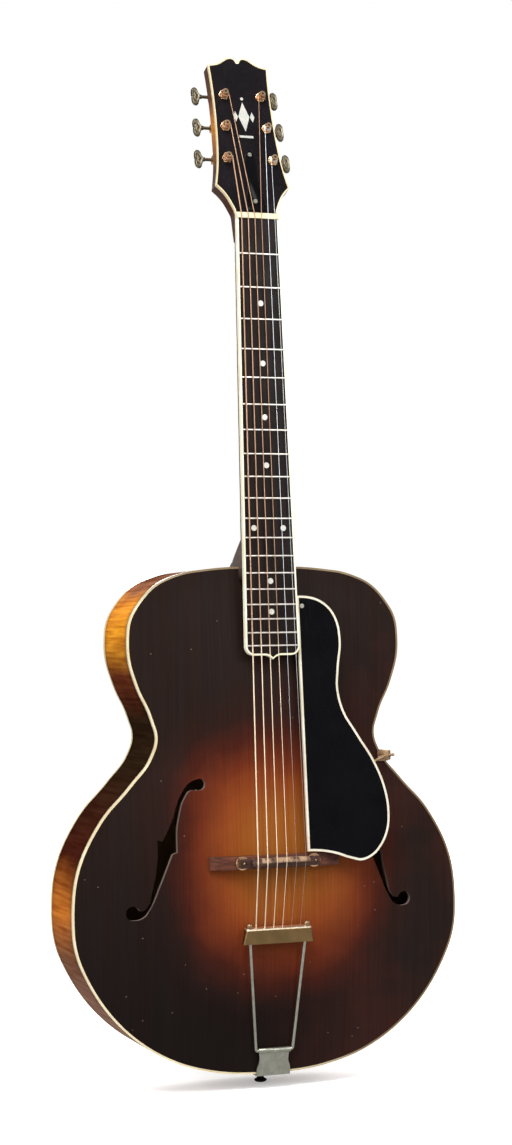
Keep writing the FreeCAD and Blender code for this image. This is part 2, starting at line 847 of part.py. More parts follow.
post_places = []
for side in (1, -1):
    for step in range(posts_per_side):
        spread = low_post_spread + (high_post_spread - low_post_spread) * step / (posts_per_side - 1)
        post_places.append((side, side * spread / 2, first_post + post_spacing * step))

heel_distance = fret_distance(heel_start_fret)
shaft = Part.makeLoft([
    shaft_section(-heel_distance - heel_inside, board_half_width(heel_distance), neck_depth_at_heel),
    shaft_section(0, board_half_width(0), neck_depth_at_nut),
    shaft_section(truss_pocket_start, board_half_width(0), neck_depth_at_nut),
], True, True)
heel_levels = zip(heel_depth_shares, heel_width_shares, heel_reach_shares)
heel = Part.makeLoft([heel_section(*level) for level in heel_levels], True, False)
shaft_under_board = Part.makeLoft([
    shaft_section(-edge_distance, board_half_width(edge_distance), neck_depth_at_heel),
    shaft_section(-heel_distance, board_half_width(heel_distance), neck_depth_at_heel),
], True, True)
riser = box((-riser_width / 2, riser_width / 2), (board_thickness, board_thickness + rim_depth),
            (-(board_length - board_corner_radius - riser_end_setback), -edge_distance + heel_inside))
back_cut = box((-heel_width, heel_width), (back_y - heel_cap_thickness, back_y + 2 * rim_depth),
               (body_length - overrun, nut_z))
riser = placed(neck_frame, riser).cut(body_envelope)
riser = riser.cut(box((-heel_width, heel_width), (front_y - fit_gap, back_y + 2 * rim_depth),
                      (0, body_length + rim_depth)))
heel = placed(neck_frame, heel.fuse(shaft_under_board)).cut(body_envelope)
cap_depths = (back_y - heel_cap_thickness, back_y)
heel_cap = heel.common(box((-heel_width, heel_width), cap_depths, (body_length - overrun, nut_z)))
heel = heel.cut(back_cut)
tenon = dovetail(0).cut(box((-heel_width, heel_width), whole_depth, (body_length, body_length + 2 * overrun)))
head_slab = placed(head_frame, prism(head_wire(-head_root_overlap), (veneer_thickness, head_thickness)))
board_room = placed(neck_frame, box((-board_end_width, board_end_width), (-rim_depth, board_thickness),
                                    (-board_length - overrun, nut_thickness)))
head_room = placed(head_frame, box((-head_ear_width, head_ear_width), (-rim_depth, veneer_thickness),
                                   (0, head_length + overrun)))
truss_slot = placed(neck_frame, box(
    (-truss_rod_radius - running_clearance, truss_rod_radius + running_clearance),
    (board_thickness - overrun, truss_rod_depth + truss_rod_radius + running_clearance),
    (-(edge_distance - truss_rod_end_setback), 0)))


def truss_bar(low, high, radius):
    """A round length on the truss rod's axis."""
    return placed(neck_frame, rod(vec(0, truss_rod_depth, low), vec(0, truss_rod_depth, high), radius))


truss_end = -(edge_distance - truss_rod_end_setback)
truss_bore = truss_bar(-overrun, truss_pocket_start, truss_rod_radius + running_clearance)
truss_anchor_end = truss_end + truss_anchor_length
truss_anchor_room = truss_bar(truss_end, truss_anchor_end, truss_anchor_radius + running_clearance)
truss_pocket = placed(neck_frame, box(
    (-truss_pocket_width / 2, truss_pocket_width / 2), (-overrun, truss_pocket_floor),
    (truss_pocket_start, truss_pocket_start + truss_pocket_length)))
post_bores = []
for side, x, z in post_places:
    bore = rod(vec(x, -overrun, z), vec(x, head_thickness + overrun, z), bushing_radius + fit_gap)
    post_bores.append(placed(head_frame, bore))

neck = placed(neck_frame, shaft).fuse([heel, riser, tenon, head_slab])
neck = neck.cut([board_room, head_room, truss_slot, truss_bore, truss_anchor_room, truss_pocket] + post_bores)
neck = neck.removeSplitter()

truss_tip = truss_pocket_start + truss_nut_length + truss_rod_radius
truss_anchor = truss_bar(truss_end, truss_anchor_end, truss_anchor_radius)
truss_rod = joined(truss_bar(truss_end, truss_tip, truss_rod_radius), truss_anchor)


def hexagon(flats, middle, direction, length):
    """A six-sided bar across its flats."""
    corner = flats / 2 / math.cos(math.pi / 6)
    points = [vec(corner * math.cos(a), corner * math.sin(a), 0) for a in (math.pi / 3 * k for k in range(7))]
    bar = Part.Face(Part.makePolygon(points)).extrude(vec(0, 0, length))
    turn = FreeCAD.Rotation(Z_AXIS, direction)
    return placed(FreeCAD.Placement(middle, turn), bar)


truss_nut_start = vec(0, truss_rod_depth, truss_pocket_start + fit_gap)
truss_rod_nut = hexagon(truss_nut_flats, truss_nut_start, Z_AXIS, truss_nut_length)
truss_rod_nut = placed(neck_frame, truss_rod_nut)
truss_rod_nut = truss_rod_nut.cut(truss_bar(0, truss_tip + overrun, truss_rod_radius + running_clearance))

# Fingerboard, frets and dots
board_outline = board_wire(0)
board_core = board_wire(board_binding_width)
board_core_room = prism(board_core, (-overrun, board_thickness + overrun))
board_binding = prism(board_outline, (0, board_thickness)).cut(board_core_room)
fingerboard = prism(board_core, (0, board_thickness))


def fret(number):
    """A fret wire with its tang, as wide as the fingerboard's wood."""
    z = -fret_distance(number)
    half = board_half_width(-z) - board_binding_width
    crown = Part.makeCylinder(fret_width / 2, 2 * half, vec(-half, 0, z), X_AXIS)
    crown = crown.common(box((-half, half), (-fret_height, 0), (z - fret_width, z + fret_width)))
    tang = box((-half, half), (0, fret_tang_depth), (z - fret_tang_width / 2, z + fret_tang_width / 2))
    return crown.fuse(tang).removeSplitter(), tang


frets = []
for number in range(1, fret_count + 1):
    fret_wire, tang = fret(number)
    frets.append(fret_wire)
    fingerboard = fingerboard.cut(tang)


def dot(x, number):
    """A pearl dot half way between two frets."""
    z = -(fret_distance(number) + fret_distance(number - 1)) / 2
    return rod(vec(x, 0, z), vec(x, dot_depth, z), dot_radius)


dots = [dot(0, number) for number in single_dot_frets]
dots += [dot(side * double_dot_spacing / 2, double_dot_fret) for side in (1, -1)]
fingerboard = fingerboard.cut(dots)
fingerboard = placed(neck_frame, fingerboard)
fingerboard_binding = placed(neck_frame, board_binding)

# Headstock face
nut_room = placed(neck_frame, box((-board_end_width, board_end_width), (-rim_depth, rim_depth),
                                  (-rim_depth, nut_thickness)))
head_outline = head_wire(-head_root_overlap)
veneer_depths = (0, veneer_thickness)
head_face = placed(head_frame, prism(inset(head_outline, head_binding_width), veneer_depths)).cut(nut_room)
headstock_binding = placed(head_frame, frame_of(head_outline, head_binding_width, veneer_depths))
headstock_binding = headstock_binding.cut(nut_room)


def lozenge(x, z, width, length):
    """A flat diamond inlay."""
    corners = [vec(x + width / 2, 0, z), vec(x, 0, z + length / 2)]
    corners += [vec(x - width / 2, 0, z), vec(x, 0, z - length / 2)]
    return prism(polygon(corners), (0, inlay_depth))


inlays = [lozenge(0, inlay_middle, lozenge_width, lozenge_length)]
for side in (1, -1):
    offset = side * small_lozenge_offset
    inlays.append(lozenge(offset, inlay_middle, small_lozenge_width, small_lozenge_length))
inlay_dot_z = inlay_middle + inlay_dot_offset
inlays.append(rod(vec(0, 0, inlay_dot_z), vec(0, inlay_depth, inlay_dot_z), inlay_dot_radius))
inlay_bar_z = inlay_middle - inlay_bar_offset
inlays.append(box((-inlay_bar_width / 2, inlay_bar_width / 2), (0, inlay_depth),
                  (inlay_bar_z - inlay_bar_height / 2, inlay_bar_z + inlay_bar_height / 2)))
inlays = [placed(head_frame, inlay) for inlay in inlays]
headstock_veneer = head_face.cut(inlays + post_bores + [truss_pocket])


def bell_wire():
    """Outline of the truss-rod cover."""
    half = [vec(cover_width / 2 * x, 0, cover_start + cover_length * z) for x, z in cover_shares]
    tip = vec(0, 0, cover_start + cover_length)
    edges = smooth_edges(half + [tip], None, X_AXIS * -1)
    edges += smooth_edges([tip] + mirrored(half), X_AXIS * -1)
    edges += line_edges([vec(-half[0].x, 0, half[0].z), half[0]])
    return edges


# Screws: each has a slotted round head on the face at a point, and a shank along the drive direction

def screw(point, drive, length):
    """A slotted wood screw with its head standing on a face at a point."""
    head_top = point - drive * screw_head_height
    head = rod(head_top, point, screw_head_radius)
    shank = rod(point, point + drive * length, screw_radius)
    slot = box((-screw_head_radius, screw_head_radius), (-screw_slot_width / 2, screw_slot_width / 2),
               (0, screw_slot_depth))
    slot = placed(FreeCAD.Placement(head_top, FreeCAD.Rotation(Z_AXIS, drive)), slot)
    return joined(head, shank).cut(slot)


def screw_hole(point, drive, length):
    """Room for a screw's shank."""
    return rod(point - drive * overrun, point + drive * length, screw_radius)


def direction(frame, axis):
    """An axis of a frame in the guitar's frame."""
    return frame.Rotation.multVec(axis)


head_drive = direction(head_frame, Y_AXIS)
cover = prism(bell_wire(), (-cover_thickness, 0))
truss_rod_cover = placed(head_frame, cover)
wood_screws = []
for z in (cover_screw_low, cover_screw_high):
    top = head_frame.multVec(vec(0, -cover_thickness, z))
    wood_screws.append(screw(top, head_drive, cover_screw_length))
    hole = screw_hole(top, head_drive, cover_screw_length)
    truss_rod_cover = truss_rod_cover.cut(hole)
    headstock_veneer = headstock_veneer.cut(hole)
    neck = neck.cut(hole)

# Tuners
worm_depth = head_thickness + tuner_plate_thickness + worm_pitch_radius + tooth_addendum + mesh_clearance
worm_offset = gear_pitch_radius + worm_pitch_radius
thread_pitch = 2 * math.pi * gear_pitch_radius / gear_teeth
worm_core = worm_offset - gear_pitch_radius - tooth_addendum - mesh_clearance
worm_half = thread_pitch * worm_turns / 2 + worm_thread_width
gear_root = worm_offset - worm_pitch_radius - tooth_addendum - mesh_clearance
gear_tip = gear_pitch_radius + tooth_addendum


def gear_wheel():
    """The post's worm wheel, around Z, with a tooth pointing along X."""
    points = []
    for tooth in range(gear_teeth):
        middle = 2 * math.pi * tooth / gear_teeth
        corners = [(gear_root, -gear_root_width), (gear_tip, -gear_tip_width),
                   (gear_tip, gear_tip_width), (gear_root, gear_root_width)]
        for radius, width in corners:
            turn = middle + width / 2 / radius
            points.append(vec(radius * math.cos(turn), radius * math.sin(turn), 0))
    wheel = Part.Face(Part.makePolygon(points + points[:1])).extrude(vec(0, 0, gear_thickness))
    return wheel


def tuner_post(x, z):
    """String post with its worm wheel and the screw that holds the wheel."""
    wheel = gear_wheel()
    wheel_place = FreeCAD.Placement(vec(x, worm_depth - gear_thickness / 2, z), FreeCAD.Rotation(X_AXIS, -90))
    wheel = placed(wheel_place, placed(FreeCAD.Placement(vec(0, 0, 0), FreeCAD.Rotation(Z_AXIS, -90)), wheel))
    wheel_face = worm_depth + gear_thickness / 2
    post = rod(vec(x, -post_rise, z), vec(x, wheel_face - gear_thickness / 2, z), post_radius)
    hole_y = -post_rise + post_hole_drop
    cross_hole = rod(vec(x - overrun, hole_y, z), vec(x + overrun, hole_y, z), post_hole_radius)
    dimple_y = -post_rise + post_dimple_depth
    dimple = rod(vec(x, dimple_y - overrun, z), vec(x, dimple_y, z), post_dimple_radius)
    post = joined(post, wheel).cut([cross_hole, dimple])
    cap = rod(vec(x, wheel_face, z), vec(x, wheel_face + gear_screw_height, z), gear_screw_radius)
    slot = box((x - gear_screw_radius, x + gear_screw_radius),
               (wheel_face + gear_screw_height - screw_slot_depth, wheel_face + gear_screw_height + overrun),
               (z - screw_slot_width / 2, z + screw_slot_width / 2))
    return [post, cap.cut(slot)]


def worm_thread():
    """Helical thread of the worm, about Z, starting at X."""
    helix = Part.makeHelix(thread_pitch, thread_pitch * worm_turns, worm_pitch_radius)
    sink = worm_core - mesh_clearance
    tip = worm_pitch_radius + tooth_addendum
    root_half = worm_thread_width - worm_thread_tip_width / 2
    corners = [vec(sink, 0, -root_half), vec(tip, 0, -worm_thread_tip_width / 2),
               vec(tip, 0, worm_thread_tip_width / 2), vec(sink, 0, root_half)]
    profile = Part.makePolygon(corners + corners[:1])
    return Part.Wire(helix).makePipeShell([profile], True, True)


def button_wire(side, x, z):
    """Outline of a button seen from the front: a neck that opens to a scalloped fan."""
    half = button_height / 2
    upper = [vec(x + side * button_length * a, 0, z + half * b) for a, b in button_shares]
    rim_points = [vec(x + side * button_length * a, 0, z + half * b) for a, b in button_edge_shares]
    lower = [vec(p.x, 0, 2 * z - p.z) for p in reversed(upper)]
    lower_rim = [vec(p.x, 0, 2 * z - p.z) for p in reversed(rim_points)]
    edges = smooth_edges(upper)
    edges += line_edges([upper[-1], rim_points[0]])
    edges += smooth_edges(rim_points)
    edges += smooth_edges(lower_rim)
    edges += line_edges([lower_rim[-1], lower[0]])
    edges += smooth_edges(lower)
    edges += line_edges([lower[-1], upper[0]])
    return edges


def tuner_button(side, x, z):
    """Worm on its shaft, with the button at the shaft's outer end."""
    axis_z = z + worm_offset
    inner_end = x - side * (worm_half + worm_end_play + worm_bracket_thickness + running_clearance)
    outer_end = x + side * (worm_half + shaft_reach)
    axis = [vec(inner_end, worm_depth, axis_z), vec(outer_end, worm_depth, axis_z)]
    shaft = rod(axis[0], axis[1], worm_shaft_radius)
    core = rod(vec(x - worm_half, worm_depth, axis_z), vec(x + worm_half, worm_depth, axis_z), worm_core)
    start = vec(x - thread_pitch * worm_turns / 2, worm_depth, axis_z)
    thread = placed(FreeCAD.Placement(start, FreeCAD.Rotation(Y_AXIS, 90)), worm_thread())
    button = prism(button_wire(side, outer_end - side * worm_shaft_radius, axis_z),
                   (worm_depth - button_thickness / 2, worm_depth + button_thickness / 2))
    return core.fuse([thread, shaft, button])


def worm_brackets(x, z):
    """The two ears that carry a worm shaft."""
    ears = []
    axis_z = z + worm_offset
    depth = (head_thickness + tuner_plate_thickness / 2, worm_depth + worm_bracket_half_width)
    for side in (1, -1):
        near = x + side * (worm_half + worm_end_play)
        far = near + side * worm_bracket_thickness
        ears.append(box((min(near, far), max(near, far)), depth,
                        (axis_z - worm_bracket_half_width, axis_z + worm_bracket_half_width)))
    return ears


tuner_plates = []
tuner_bushings = []
tuner_posts = []
tuner_buttons = []
for side in (1, -1):
    low = first_post - tuner_plate_end_margin
    high = first_post + post_spacing * (posts_per_side - 1) + worm_offset + tuner_plate_end_margin
    plate_corners = [vec(side * tuner_plate_inner, 0, low), vec(side * tuner_plate_low_outer, 0, low),
                     vec(side * tuner_plate_high_outer, 0, high), vec(side * tuner_plate_inner, 0, high)]
    plate = prism(polygon(plate_corners), (head_thickness, head_thickness + tuner_plate_thickness))
    for other, x, z in [place for place in post_places if place[0] == side]:
        plate = plate.fuse(worm_brackets(x, z))
        axis_z = z + worm_offset
        shaft_start = vec(x - head_ear_width, worm_depth, axis_z)
        shaft_end = vec(x + head_ear_width, worm_depth, axis_z)
        plate = plate.cut(rod(shaft_start, shaft_end, worm_shaft_radius + running_clearance))
        plate = plate.cut(rod(vec(x, 0, z), vec(x, worm_depth, z), post_radius + running_clearance))
    near = side * (tuner_plate_inner + tuner_plate_screw_margin)
    screw_places = [(near, low + tuner_plate_screw_margin), (near, high - tuner_plate_screw_margin)]
    far_low = side * (tuner_plate_low_outer - 2 * tuner_plate_screw_margin)
    far_high = side * (tuner_plate_high_outer - tuner_plate_screw_margin)
    screw_places += [(far_low, low + tuner_plate_screw_margin), (far_high, high - tuner_plate_screw_margin)]
    plate = placed(head_frame, plate)
    for x, z in screw_places:
        point = head_frame.multVec(vec(x, head_thickness + tuner_plate_thickness, z))
        wood_screws.append(screw(point, head_drive * -1, plate_screw_length))
        hole = screw_hole(point, head_drive * -1, plate_screw_length)
        plate = plate.cut(hole)
        neck = neck.cut(hole)
    tuner_plates.append(plate)
for side, x, z in post_places:
    barrel = rod(vec(x, 0, z), vec(x, head_thickness, z), bushing_radius)
    collar = hexagon(bushing_hex, vec(x, -bushing_rise, z), Y_AXIS, bushing_rise)
    bore = rod(vec(x, -overrun, z), vec(x, head_thickness + overrun, z), post_radius + running_clearance)
    tuner_bushings.append(placed(head_frame, joined(barrel, collar).cut(bore)))
    tuner_posts.append([placed(head_frame, solid) for solid in tuner_post(x, z)])
    tuner_buttons.append(placed(head_frame, tuner_button(side, x, z)))

# Strings: from the ball end over the saddle and the nut to the turns on the post
string_count = len(string_diameters)


def string_offset(index, spacing):
    """Place of a string across the neck, the first string on the treble side."""
    return spacing * ((string_count - 1) / 2 - index)


def rounded_corner(before, corner, after, radius):
    """Start, middle and end of the arc that rounds a corner of a path."""
    arriving = (corner - before) * (1 / (corner - before).Length)
    leaving = (after - corner) * (1 / (after - corner).Length)
    half_turn = arriving.getAngle(leaving) / 2
    reach = radius * math.tan(half_turn)
    start = corner - arriving * reach
    end = corner + leaving * reach
    return start, arc_middle(start, arriving, end), end


def winding_points(index, side, x, z, near_point):
    """Quarter-turn points and directions of a string's turns on its post, in the head frame."""
    diameter = string_diameters[index]
    radius = post_radius + post_gap + diameter / 2
    step = diameter + winding_gap
    across = vec(near_point.x - x, 0, near_point.z - z)
    aim = math.atan2(across.z, across.x)
    lift = math.acos(radius / across.Length)
    spin = side
    start_angle = aim - spin * lift
    points = []
    for quarter in range(4 * winding_turns[index] + 1):
        angle = start_angle + spin * math.pi / 2 * quarter
        fall = step * quarter / 4
        outward = vec(math.cos(angle), 0, math.sin(angle))
        point = vec(x, fall - winding_start_height, z) + outward * radius
        tangent = vec(-outward.z * spin * radius, step / (2 * math.pi), outward.x * spin * radius)
        points.append((point, tangent * (1 / tangent.Length)))
    return points


def string_tube(edges, start, heading, radius):
    """A round wire along a path."""
    circle = Part.Wire(Part.makeCircle(radius, start, heading))
    return Part.Wire(edges).makePipeShell([circle], True, False)


def string_route(index):
    """Edges of a string: the runs over saddle and nut, and the turns on its post."""
    side = 1 if index < posts_per_side else -1
    step = index if side == 1 else string_count - 1 - index
    place = [p for p in post_places if p[0] == side][step]
    nut_x = string_offset(index, nut_string_spacing)
    nut_point = neck_frame.multVec(vec(nut_x, -string_height_at_nut, nut_thickness * nut_break_share))
    saddle_x = string_offset(index, bridge_string_spacing)
    saddle_local_z = saddle_compensation[index] - bridge_distance
    saddle_point = neck_frame.multVec(vec(saddle_x, -string_height_at_bridge, saddle_local_z))
    tail_x = string_offset(index, tail_string_spacing)
    hole = tail_frame.multVec(vec(tail_x, 0, crossbar_reach - crossbar_sheet))
    run = (saddle_point - hole) * (1 / (saddle_point - hole).Length)
    ball = hole - run * (ball_gap + ball_radius * ball_overlap_share)
    head_nut = head_frame.inverse().multVec(nut_point)
    turns = winding_points(index, side, place[1], place[2], head_nut)
    turns = [(head_frame.multVec(p), direction(head_frame, t)) for p, t in turns]
    over_saddle = rounded_corner(ball, saddle_point, nut_point, string_bend_radius)
    over_nut = rounded_corner(saddle_point, nut_point, turns[0][0], string_bend_radius)
    post_heading = (turns[0][0] - nut_point) * (1 / (turns[0][0] - nut_point).Length)
    leave = turns[0][0] - post_heading * (2 * post_radius)
    runs = [Part.LineSegment(ball, over_saddle[0]).toShape(), Part.Arc(*over_saddle).toShape(),
            Part.LineSegment(over_saddle[2], over_nut[0]).toShape(), Part.Arc(*over_nut).toShape(),
            Part.LineSegment(over_nut[2], leave).toShape()]
    winding = biarc_edges(leave, post_heading, *turns[1])
    for (a, ta), (b, tb) in zip(turns[1:], turns[2:]):
        winding += biarc_edges(a, ta, b, tb)
    return runs, winding, ball, run


def least_winding_gap(winding, diameter):
    """Least gap between the turns of a winding, measured on points a half turn or more apart."""
    points = [p for edge in winding for p in edge.discretize(9)[:-1]]
    apart = 24
    distances = [(a - b).Length for i, a in enumerate(points) for b in points[i + apart:]]
    return min(distances) - diameter


strings = []
string_rooms = []
for index, diameter in enumerate(string_diameters):
    runs, winding, ball, heading = string_route(index)
    tube = string_tube(runs + winding, ball, heading, diameter / 2)
    ball_end = Part.makeSphere(ball_radius, ball - heading * (ball_radius * (1 - ball_overlap_share)))
    strings.append(joined(tube, ball_end))
    string_rooms.append(string_tube(runs, ball, heading, diameter / 2 + string_gap))
    print("string", index + 1, "least gap between its turns", round(least_winding_gap(winding, diameter), 3))

# Nut
nut_profile = [vec(0, -nut_rise, 0), vec(0, board_thickness, 0), vec(0, board_thickness, nut_thickness),
               vec(0, -nut_rise + nut_thickness * math.tan(math.radians(head_angle)), nut_thickness)]
nut_half = nut_width / 2
nut = bar([vec(-nut_half, p.y, p.z) for p in nut_profile], nut_width)
nut = placed(neck_frame, nut).cut(string_rooms)

# Bridge
base_half = bridge_base_length / 2
base_depths = (bridge_z - bridge_base_depth / 2, bridge_z + bridge_base_depth / 2)
base_corners = [vec(-base_half, front_y, 0), vec(-base_half, front_y - bridge_base_end_top, 0),
                vec(-bridge_base_flat / 2, front_y - bridge_base_top, 0),
                vec(bridge_base_flat / 2, front_y - bridge_base_top, 0),
                vec(base_half, front_y - bridge_base_end_top, 0), vec(base_half, front_y, 0)]
bridge_base = Part.Face(Part.makePolygon(base_corners + base_corners[:1]))
bridge_base.translate(vec(0, 0, base_depths[0]))
bridge_base = bridge_base.extrude(vec(0, 0, bridge_base_depth)).cut(body_envelope)
foot_gap = box((-bridge_foot_gap_length / 2, bridge_foot_gap_length / 2),
               (front_y - top_arch - bridge_foot_gap_rise, front_y),
               (base_depths[0] - overrun, base_depths[1] + overrun))
bridge_base = bridge_base.cut(foot_gap)
wheel_low = bridge_base_top + wheel_drop_room
wheel_high = wheel_low + wheel_thickness
saddle_low = wheel_high + wheel_saddle_gap


def stud_axis(side, low, high):
    """Two heights on a bridge stud's axis."""
    x = side * stud_spacing / 2
    return vec(x, front_y - low, bridge_z), vec(x, front_y - high, bridge_z)


bridge_studs = []
thumbwheels = []
for side in (-1, 1):
    stud = rod(*stud_axis(side, stud_seat, stud_top), stud_radius)
    bridge_studs.append(stud)
    bridge_base = bridge_base.cut(stud)
    wheel = rod(*stud_axis(side, wheel_low, wheel_high), wheel_radius)
    wheel_bore = rod(*stud_axis(side, stud_seat, stud_top + overrun), stud_radius + running_clearance)
    thumbwheels.append(wheel.cut(wheel_bore))

ridge_top = ridge_height
shoulder = ridge_height - saddle_shoulder_drop
saddle_half = saddle_length / 2
saddle_depth_half = saddle_depth / 2


def saddle_block(x_range, ridge_shift):
    """A length of the saddle under one string, with its own ridge."""
    ridge_z = bridge_z + ridge_shift
    corners = [(saddle_low, bridge_z - saddle_depth_half), (shoulder, bridge_z - saddle_depth_half),
               (ridge_top, ridge_z - saddle_top_depth / 4), (ridge_top, ridge_z + saddle_top_depth / 4),
               (shoulder, bridge_z + saddle_depth_half), (saddle_low, bridge_z + saddle_depth_half)]
    return bar([vec(x_range[0], front_y - height, z) for height, z in corners], x_range[1] - x_range[0])


saddle_blocks = []
for index in range(string_count):
    middle = string_offset(index, bridge_string_spacing)
    saddle_blocks.append(saddle_block((middle - saddle_ridge_width / 2, middle + saddle_ridge_width / 2),
                                      saddle_compensation[index]))
ridge_half = string_offset(0, bridge_string_spacing) + saddle_ridge_width / 2
for side in (1, -1):
    near = side * ridge_half
    far = side * saddle_half
    end_high = saddle_low + (shoulder - saddle_low) * saddle_end_share
    saddle_blocks.append(box((min(near, far), max(near, far)), (front_y - end_high, front_y - saddle_low),
                             (bridge_z - saddle_depth_half, bridge_z + saddle_depth_half)))
bridge_saddle = joined(*saddle_blocks).cut(string_rooms)
for side in (1, -1):
    bridge_saddle = bridge_saddle.cut(rod(*stud_axis(side, stud_seat, stud_top + wheel_drop_room),
                                          stud_radius + stud_clearance))

# Trapeze tailpiece
top_half = crossbar_top_width / 2
bottom_half = crossbar_bottom_width / 2
face_low = crossbar_reach - crossbar_face_height
face_corners = [vec(-top_half, 0, crossbar_reach), vec(top_half, 0, crossbar_reach),
                vec(bottom_half, 0, face_low), vec(-bottom_half, 0, face_low)]
crossbar_face = prism(polygon(face_corners),
                      (-crossbar_front, -crossbar_front + crossbar_sheet))
crossbar_shelf = box((-top_half, top_half), (-crossbar_front, crossbar_back),
                     (crossbar_reach - crossbar_sheet, crossbar_reach))
crossbar = placed(tail_frame, joined(crossbar_face, crossbar_shelf)).cut(string_rooms)
wire_top = tail_wire_top_spacing / 2
wire_bottom = tail_wire_bottom_spacing / 2
wire_end = crossbar_reach + tail_wire_rise
wire_corners = [vec(-wire_top, 0, wire_end), vec(-wire_bottom, 0, 0)]
wire_corners += [vec(wire_bottom, 0, 0), vec(wire_top, 0, wire_end)]
left_bend = rounded_corner(*wire_corners[:3], tail_wire_bend_radius)
right_bend = rounded_corner(*wire_corners[1:], tail_wire_bend_radius)
wire_edges = [Part.LineSegment(wire_corners[0], left_bend[0]).toShape(), Part.Arc(*left_bend).toShape(),
              Part.LineSegment(left_bend[2], right_bend[0]).toShape(), Part.Arc(*right_bend).toShape(),
              Part.LineSegment(right_bend[2], wire_corners[3]).toShape()]
wire_heading = wire_corners[1] - wire_corners[0]
tail_wire = placed(tail_frame, string_tube(wire_edges, wire_corners[0], wire_heading, tail_wire_radius))
tail_nuts = []
for side in (-1, 1):
    seat = vec(side * wire_top, 0, crossbar_reach)
    shoulder_z = crossbar_reach + tail_nut_height / 2
    nut_body = rod(seat, vec(seat.x, 0, shoulder_z), tail_nut_radius)
    dome = Part.makeSphere(tail_nut_radius, vec(seat.x, 0, shoulder_z))
    dome = dome.common(box((-crossbar_bottom_width, crossbar_bottom_width), (-overrun, overrun),
                           (shoulder_z, shoulder_z + overrun)))
    tail_nuts.append(placed(tail_frame, joined(nut_body, dome)))
crossbar = crossbar.cut(tail_wire)
tail_nuts = [nut_solid.cut(tail_wire) for nut_solid in tail_nuts]

# Hinge bracket: a barrel round the wire, a waisted plate down to the tail edge and a flap on the tail
hinge_y = front_y - hinge_height
barrel_radius = tail_wire_radius + hinge_clearance + barrel_wall
hinge_middle = vec(0, hinge_y, hinge_from_tail)
barrel_end = X_AXIS * (barrel_length / 2)
barrel = rod(hinge_middle - barrel_end, hinge_middle + barrel_end, barrel_radius)
barrel_bore = rod(hinge_middle - X_AXIS * bracket_width, hinge_middle + X_AXIS * bracket_width,
                  tail_wire_radius + hinge_clearance)
flap_top = -bracket_seat_gap
flap_low = flap_top - bracket_sheet
plate_back = front_y - bracket_tail_height
side_corners = [vec(0, hinge_y, hinge_from_tail), vec(0, plate_back - bracket_sheet, flap_top),
                vec(0, plate_back - bracket_sheet, flap_low), vec(0, bracket_flap_back, flap_low),
                vec(0, bracket_flap_back, flap_top), vec(0, plate_back, flap_top),
                vec(0, hinge_y + bracket_sheet, hinge_from_tail)]
bracket_side = bar([vec(-bracket_width, p.y, p.z) for p in side_corners], 2 * bracket_width)
half = bracket_width / 2
waist = bracket_waist_width / 2
bracket_half = [vec(half, 0, flap_low), vec(half, 0, hinge_from_tail * bracket_belly_share)]
bracket_half += [vec(waist, 0, hinge_from_tail * bracket_waist_share), barrel_end + Z_AXIS * hinge_from_tail]
bracket_edges = smooth_edges(bracket_half)
bracket_edges += line_edges([bracket_half[-1], vec(-barrel_length / 2, 0, hinge_from_tail)])
bracket_edges += smooth_edges(mirrored(bracket_half))
bracket_edges += line_edges([vec(-half, 0, flap_low), bracket_half[0]])
bracket_front = prism(bracket_edges, (hinge_y - overrun, bracket_flap_back + overrun))
hinge_bracket = bracket_side.common(bracket_front).fuse(barrel).cut(barrel_bore)
pin_room = rod(vec(0, 0, flap_low - overrun), vec(0, 0, overrun), pin_radius + fit_gap)
hinge_bracket = hinge_bracket.cut(pin_room)
for side in (1, -1):
    point = vec(side * bracket_screw_spacing / 2, -bracket_screw_forward, flap_low)
    wood_screws.append(screw(point, Z_AXIS, bracket_screw_length))
    hole = screw_hole(point, Z_AXIS, bracket_screw_length)
    hinge_bracket = hinge_bracket.cut(hole)
    rim_treble = rim_treble.cut(hole)
    rim_bass = rim_bass.cut(hole)
    tail_block = tail_block.cut(hole)

# End pin
pin_peg = rod(vec(0, 0, -pin_reach), vec(0, 0, pin_peg_length), pin_radius)
pin_head = rod(vec(0, 0, -pin_reach), vec(0, 0, -pin_reach + pin_head_height), pin_head_radius)
end_pin = joined(pin_peg, pin_head)
pin_hole = rod(vec(0, 0, -overrun), vec(0, 0, pin_peg_length), pin_radius)
rim_treble = rim_treble.cut(pin_hole)
rim_bass = rim_bass.cut(pin_hole)
tail_block = tail_block.cut(pin_hole)

# Pickguard
guard_top_from_nut = scale_length * guard_top_share
guard_length = scale_length * guard_length_share
guard_left = board_half_width(guard_top_from_nut) + guard_board_gap


def guard_place(shares):
    """A place on the pickguard, in the neck frame."""
    return vec(guard_left + guard_width * shares[0], 0, -(guard_top_from_nut + guard_length * shares[1]))


def guard_wire():
    """Outline of the pickguard: two corners at the strings and one long curve."""
    curve = [guard_place(shares) for shares in guard_curve_shares]
    top = guard_place((0, 0))
    foot = guard_place(guard_foot_shares)
    edges = line_edges([foot, top])
    edges += smooth_edges([top] + curve + [foot])
    return edges


guard_outline = guard_wire()
guard_depths = (guard_below_frets, guard_below_frets + guard_thickness)
pickguard = placed(neck_frame, prism(inset(guard_outline, guard_binding_width), guard_depths))
pickguard_binding = placed(neck_frame, frame_of(guard_outline, guard_binding_width, guard_depths))

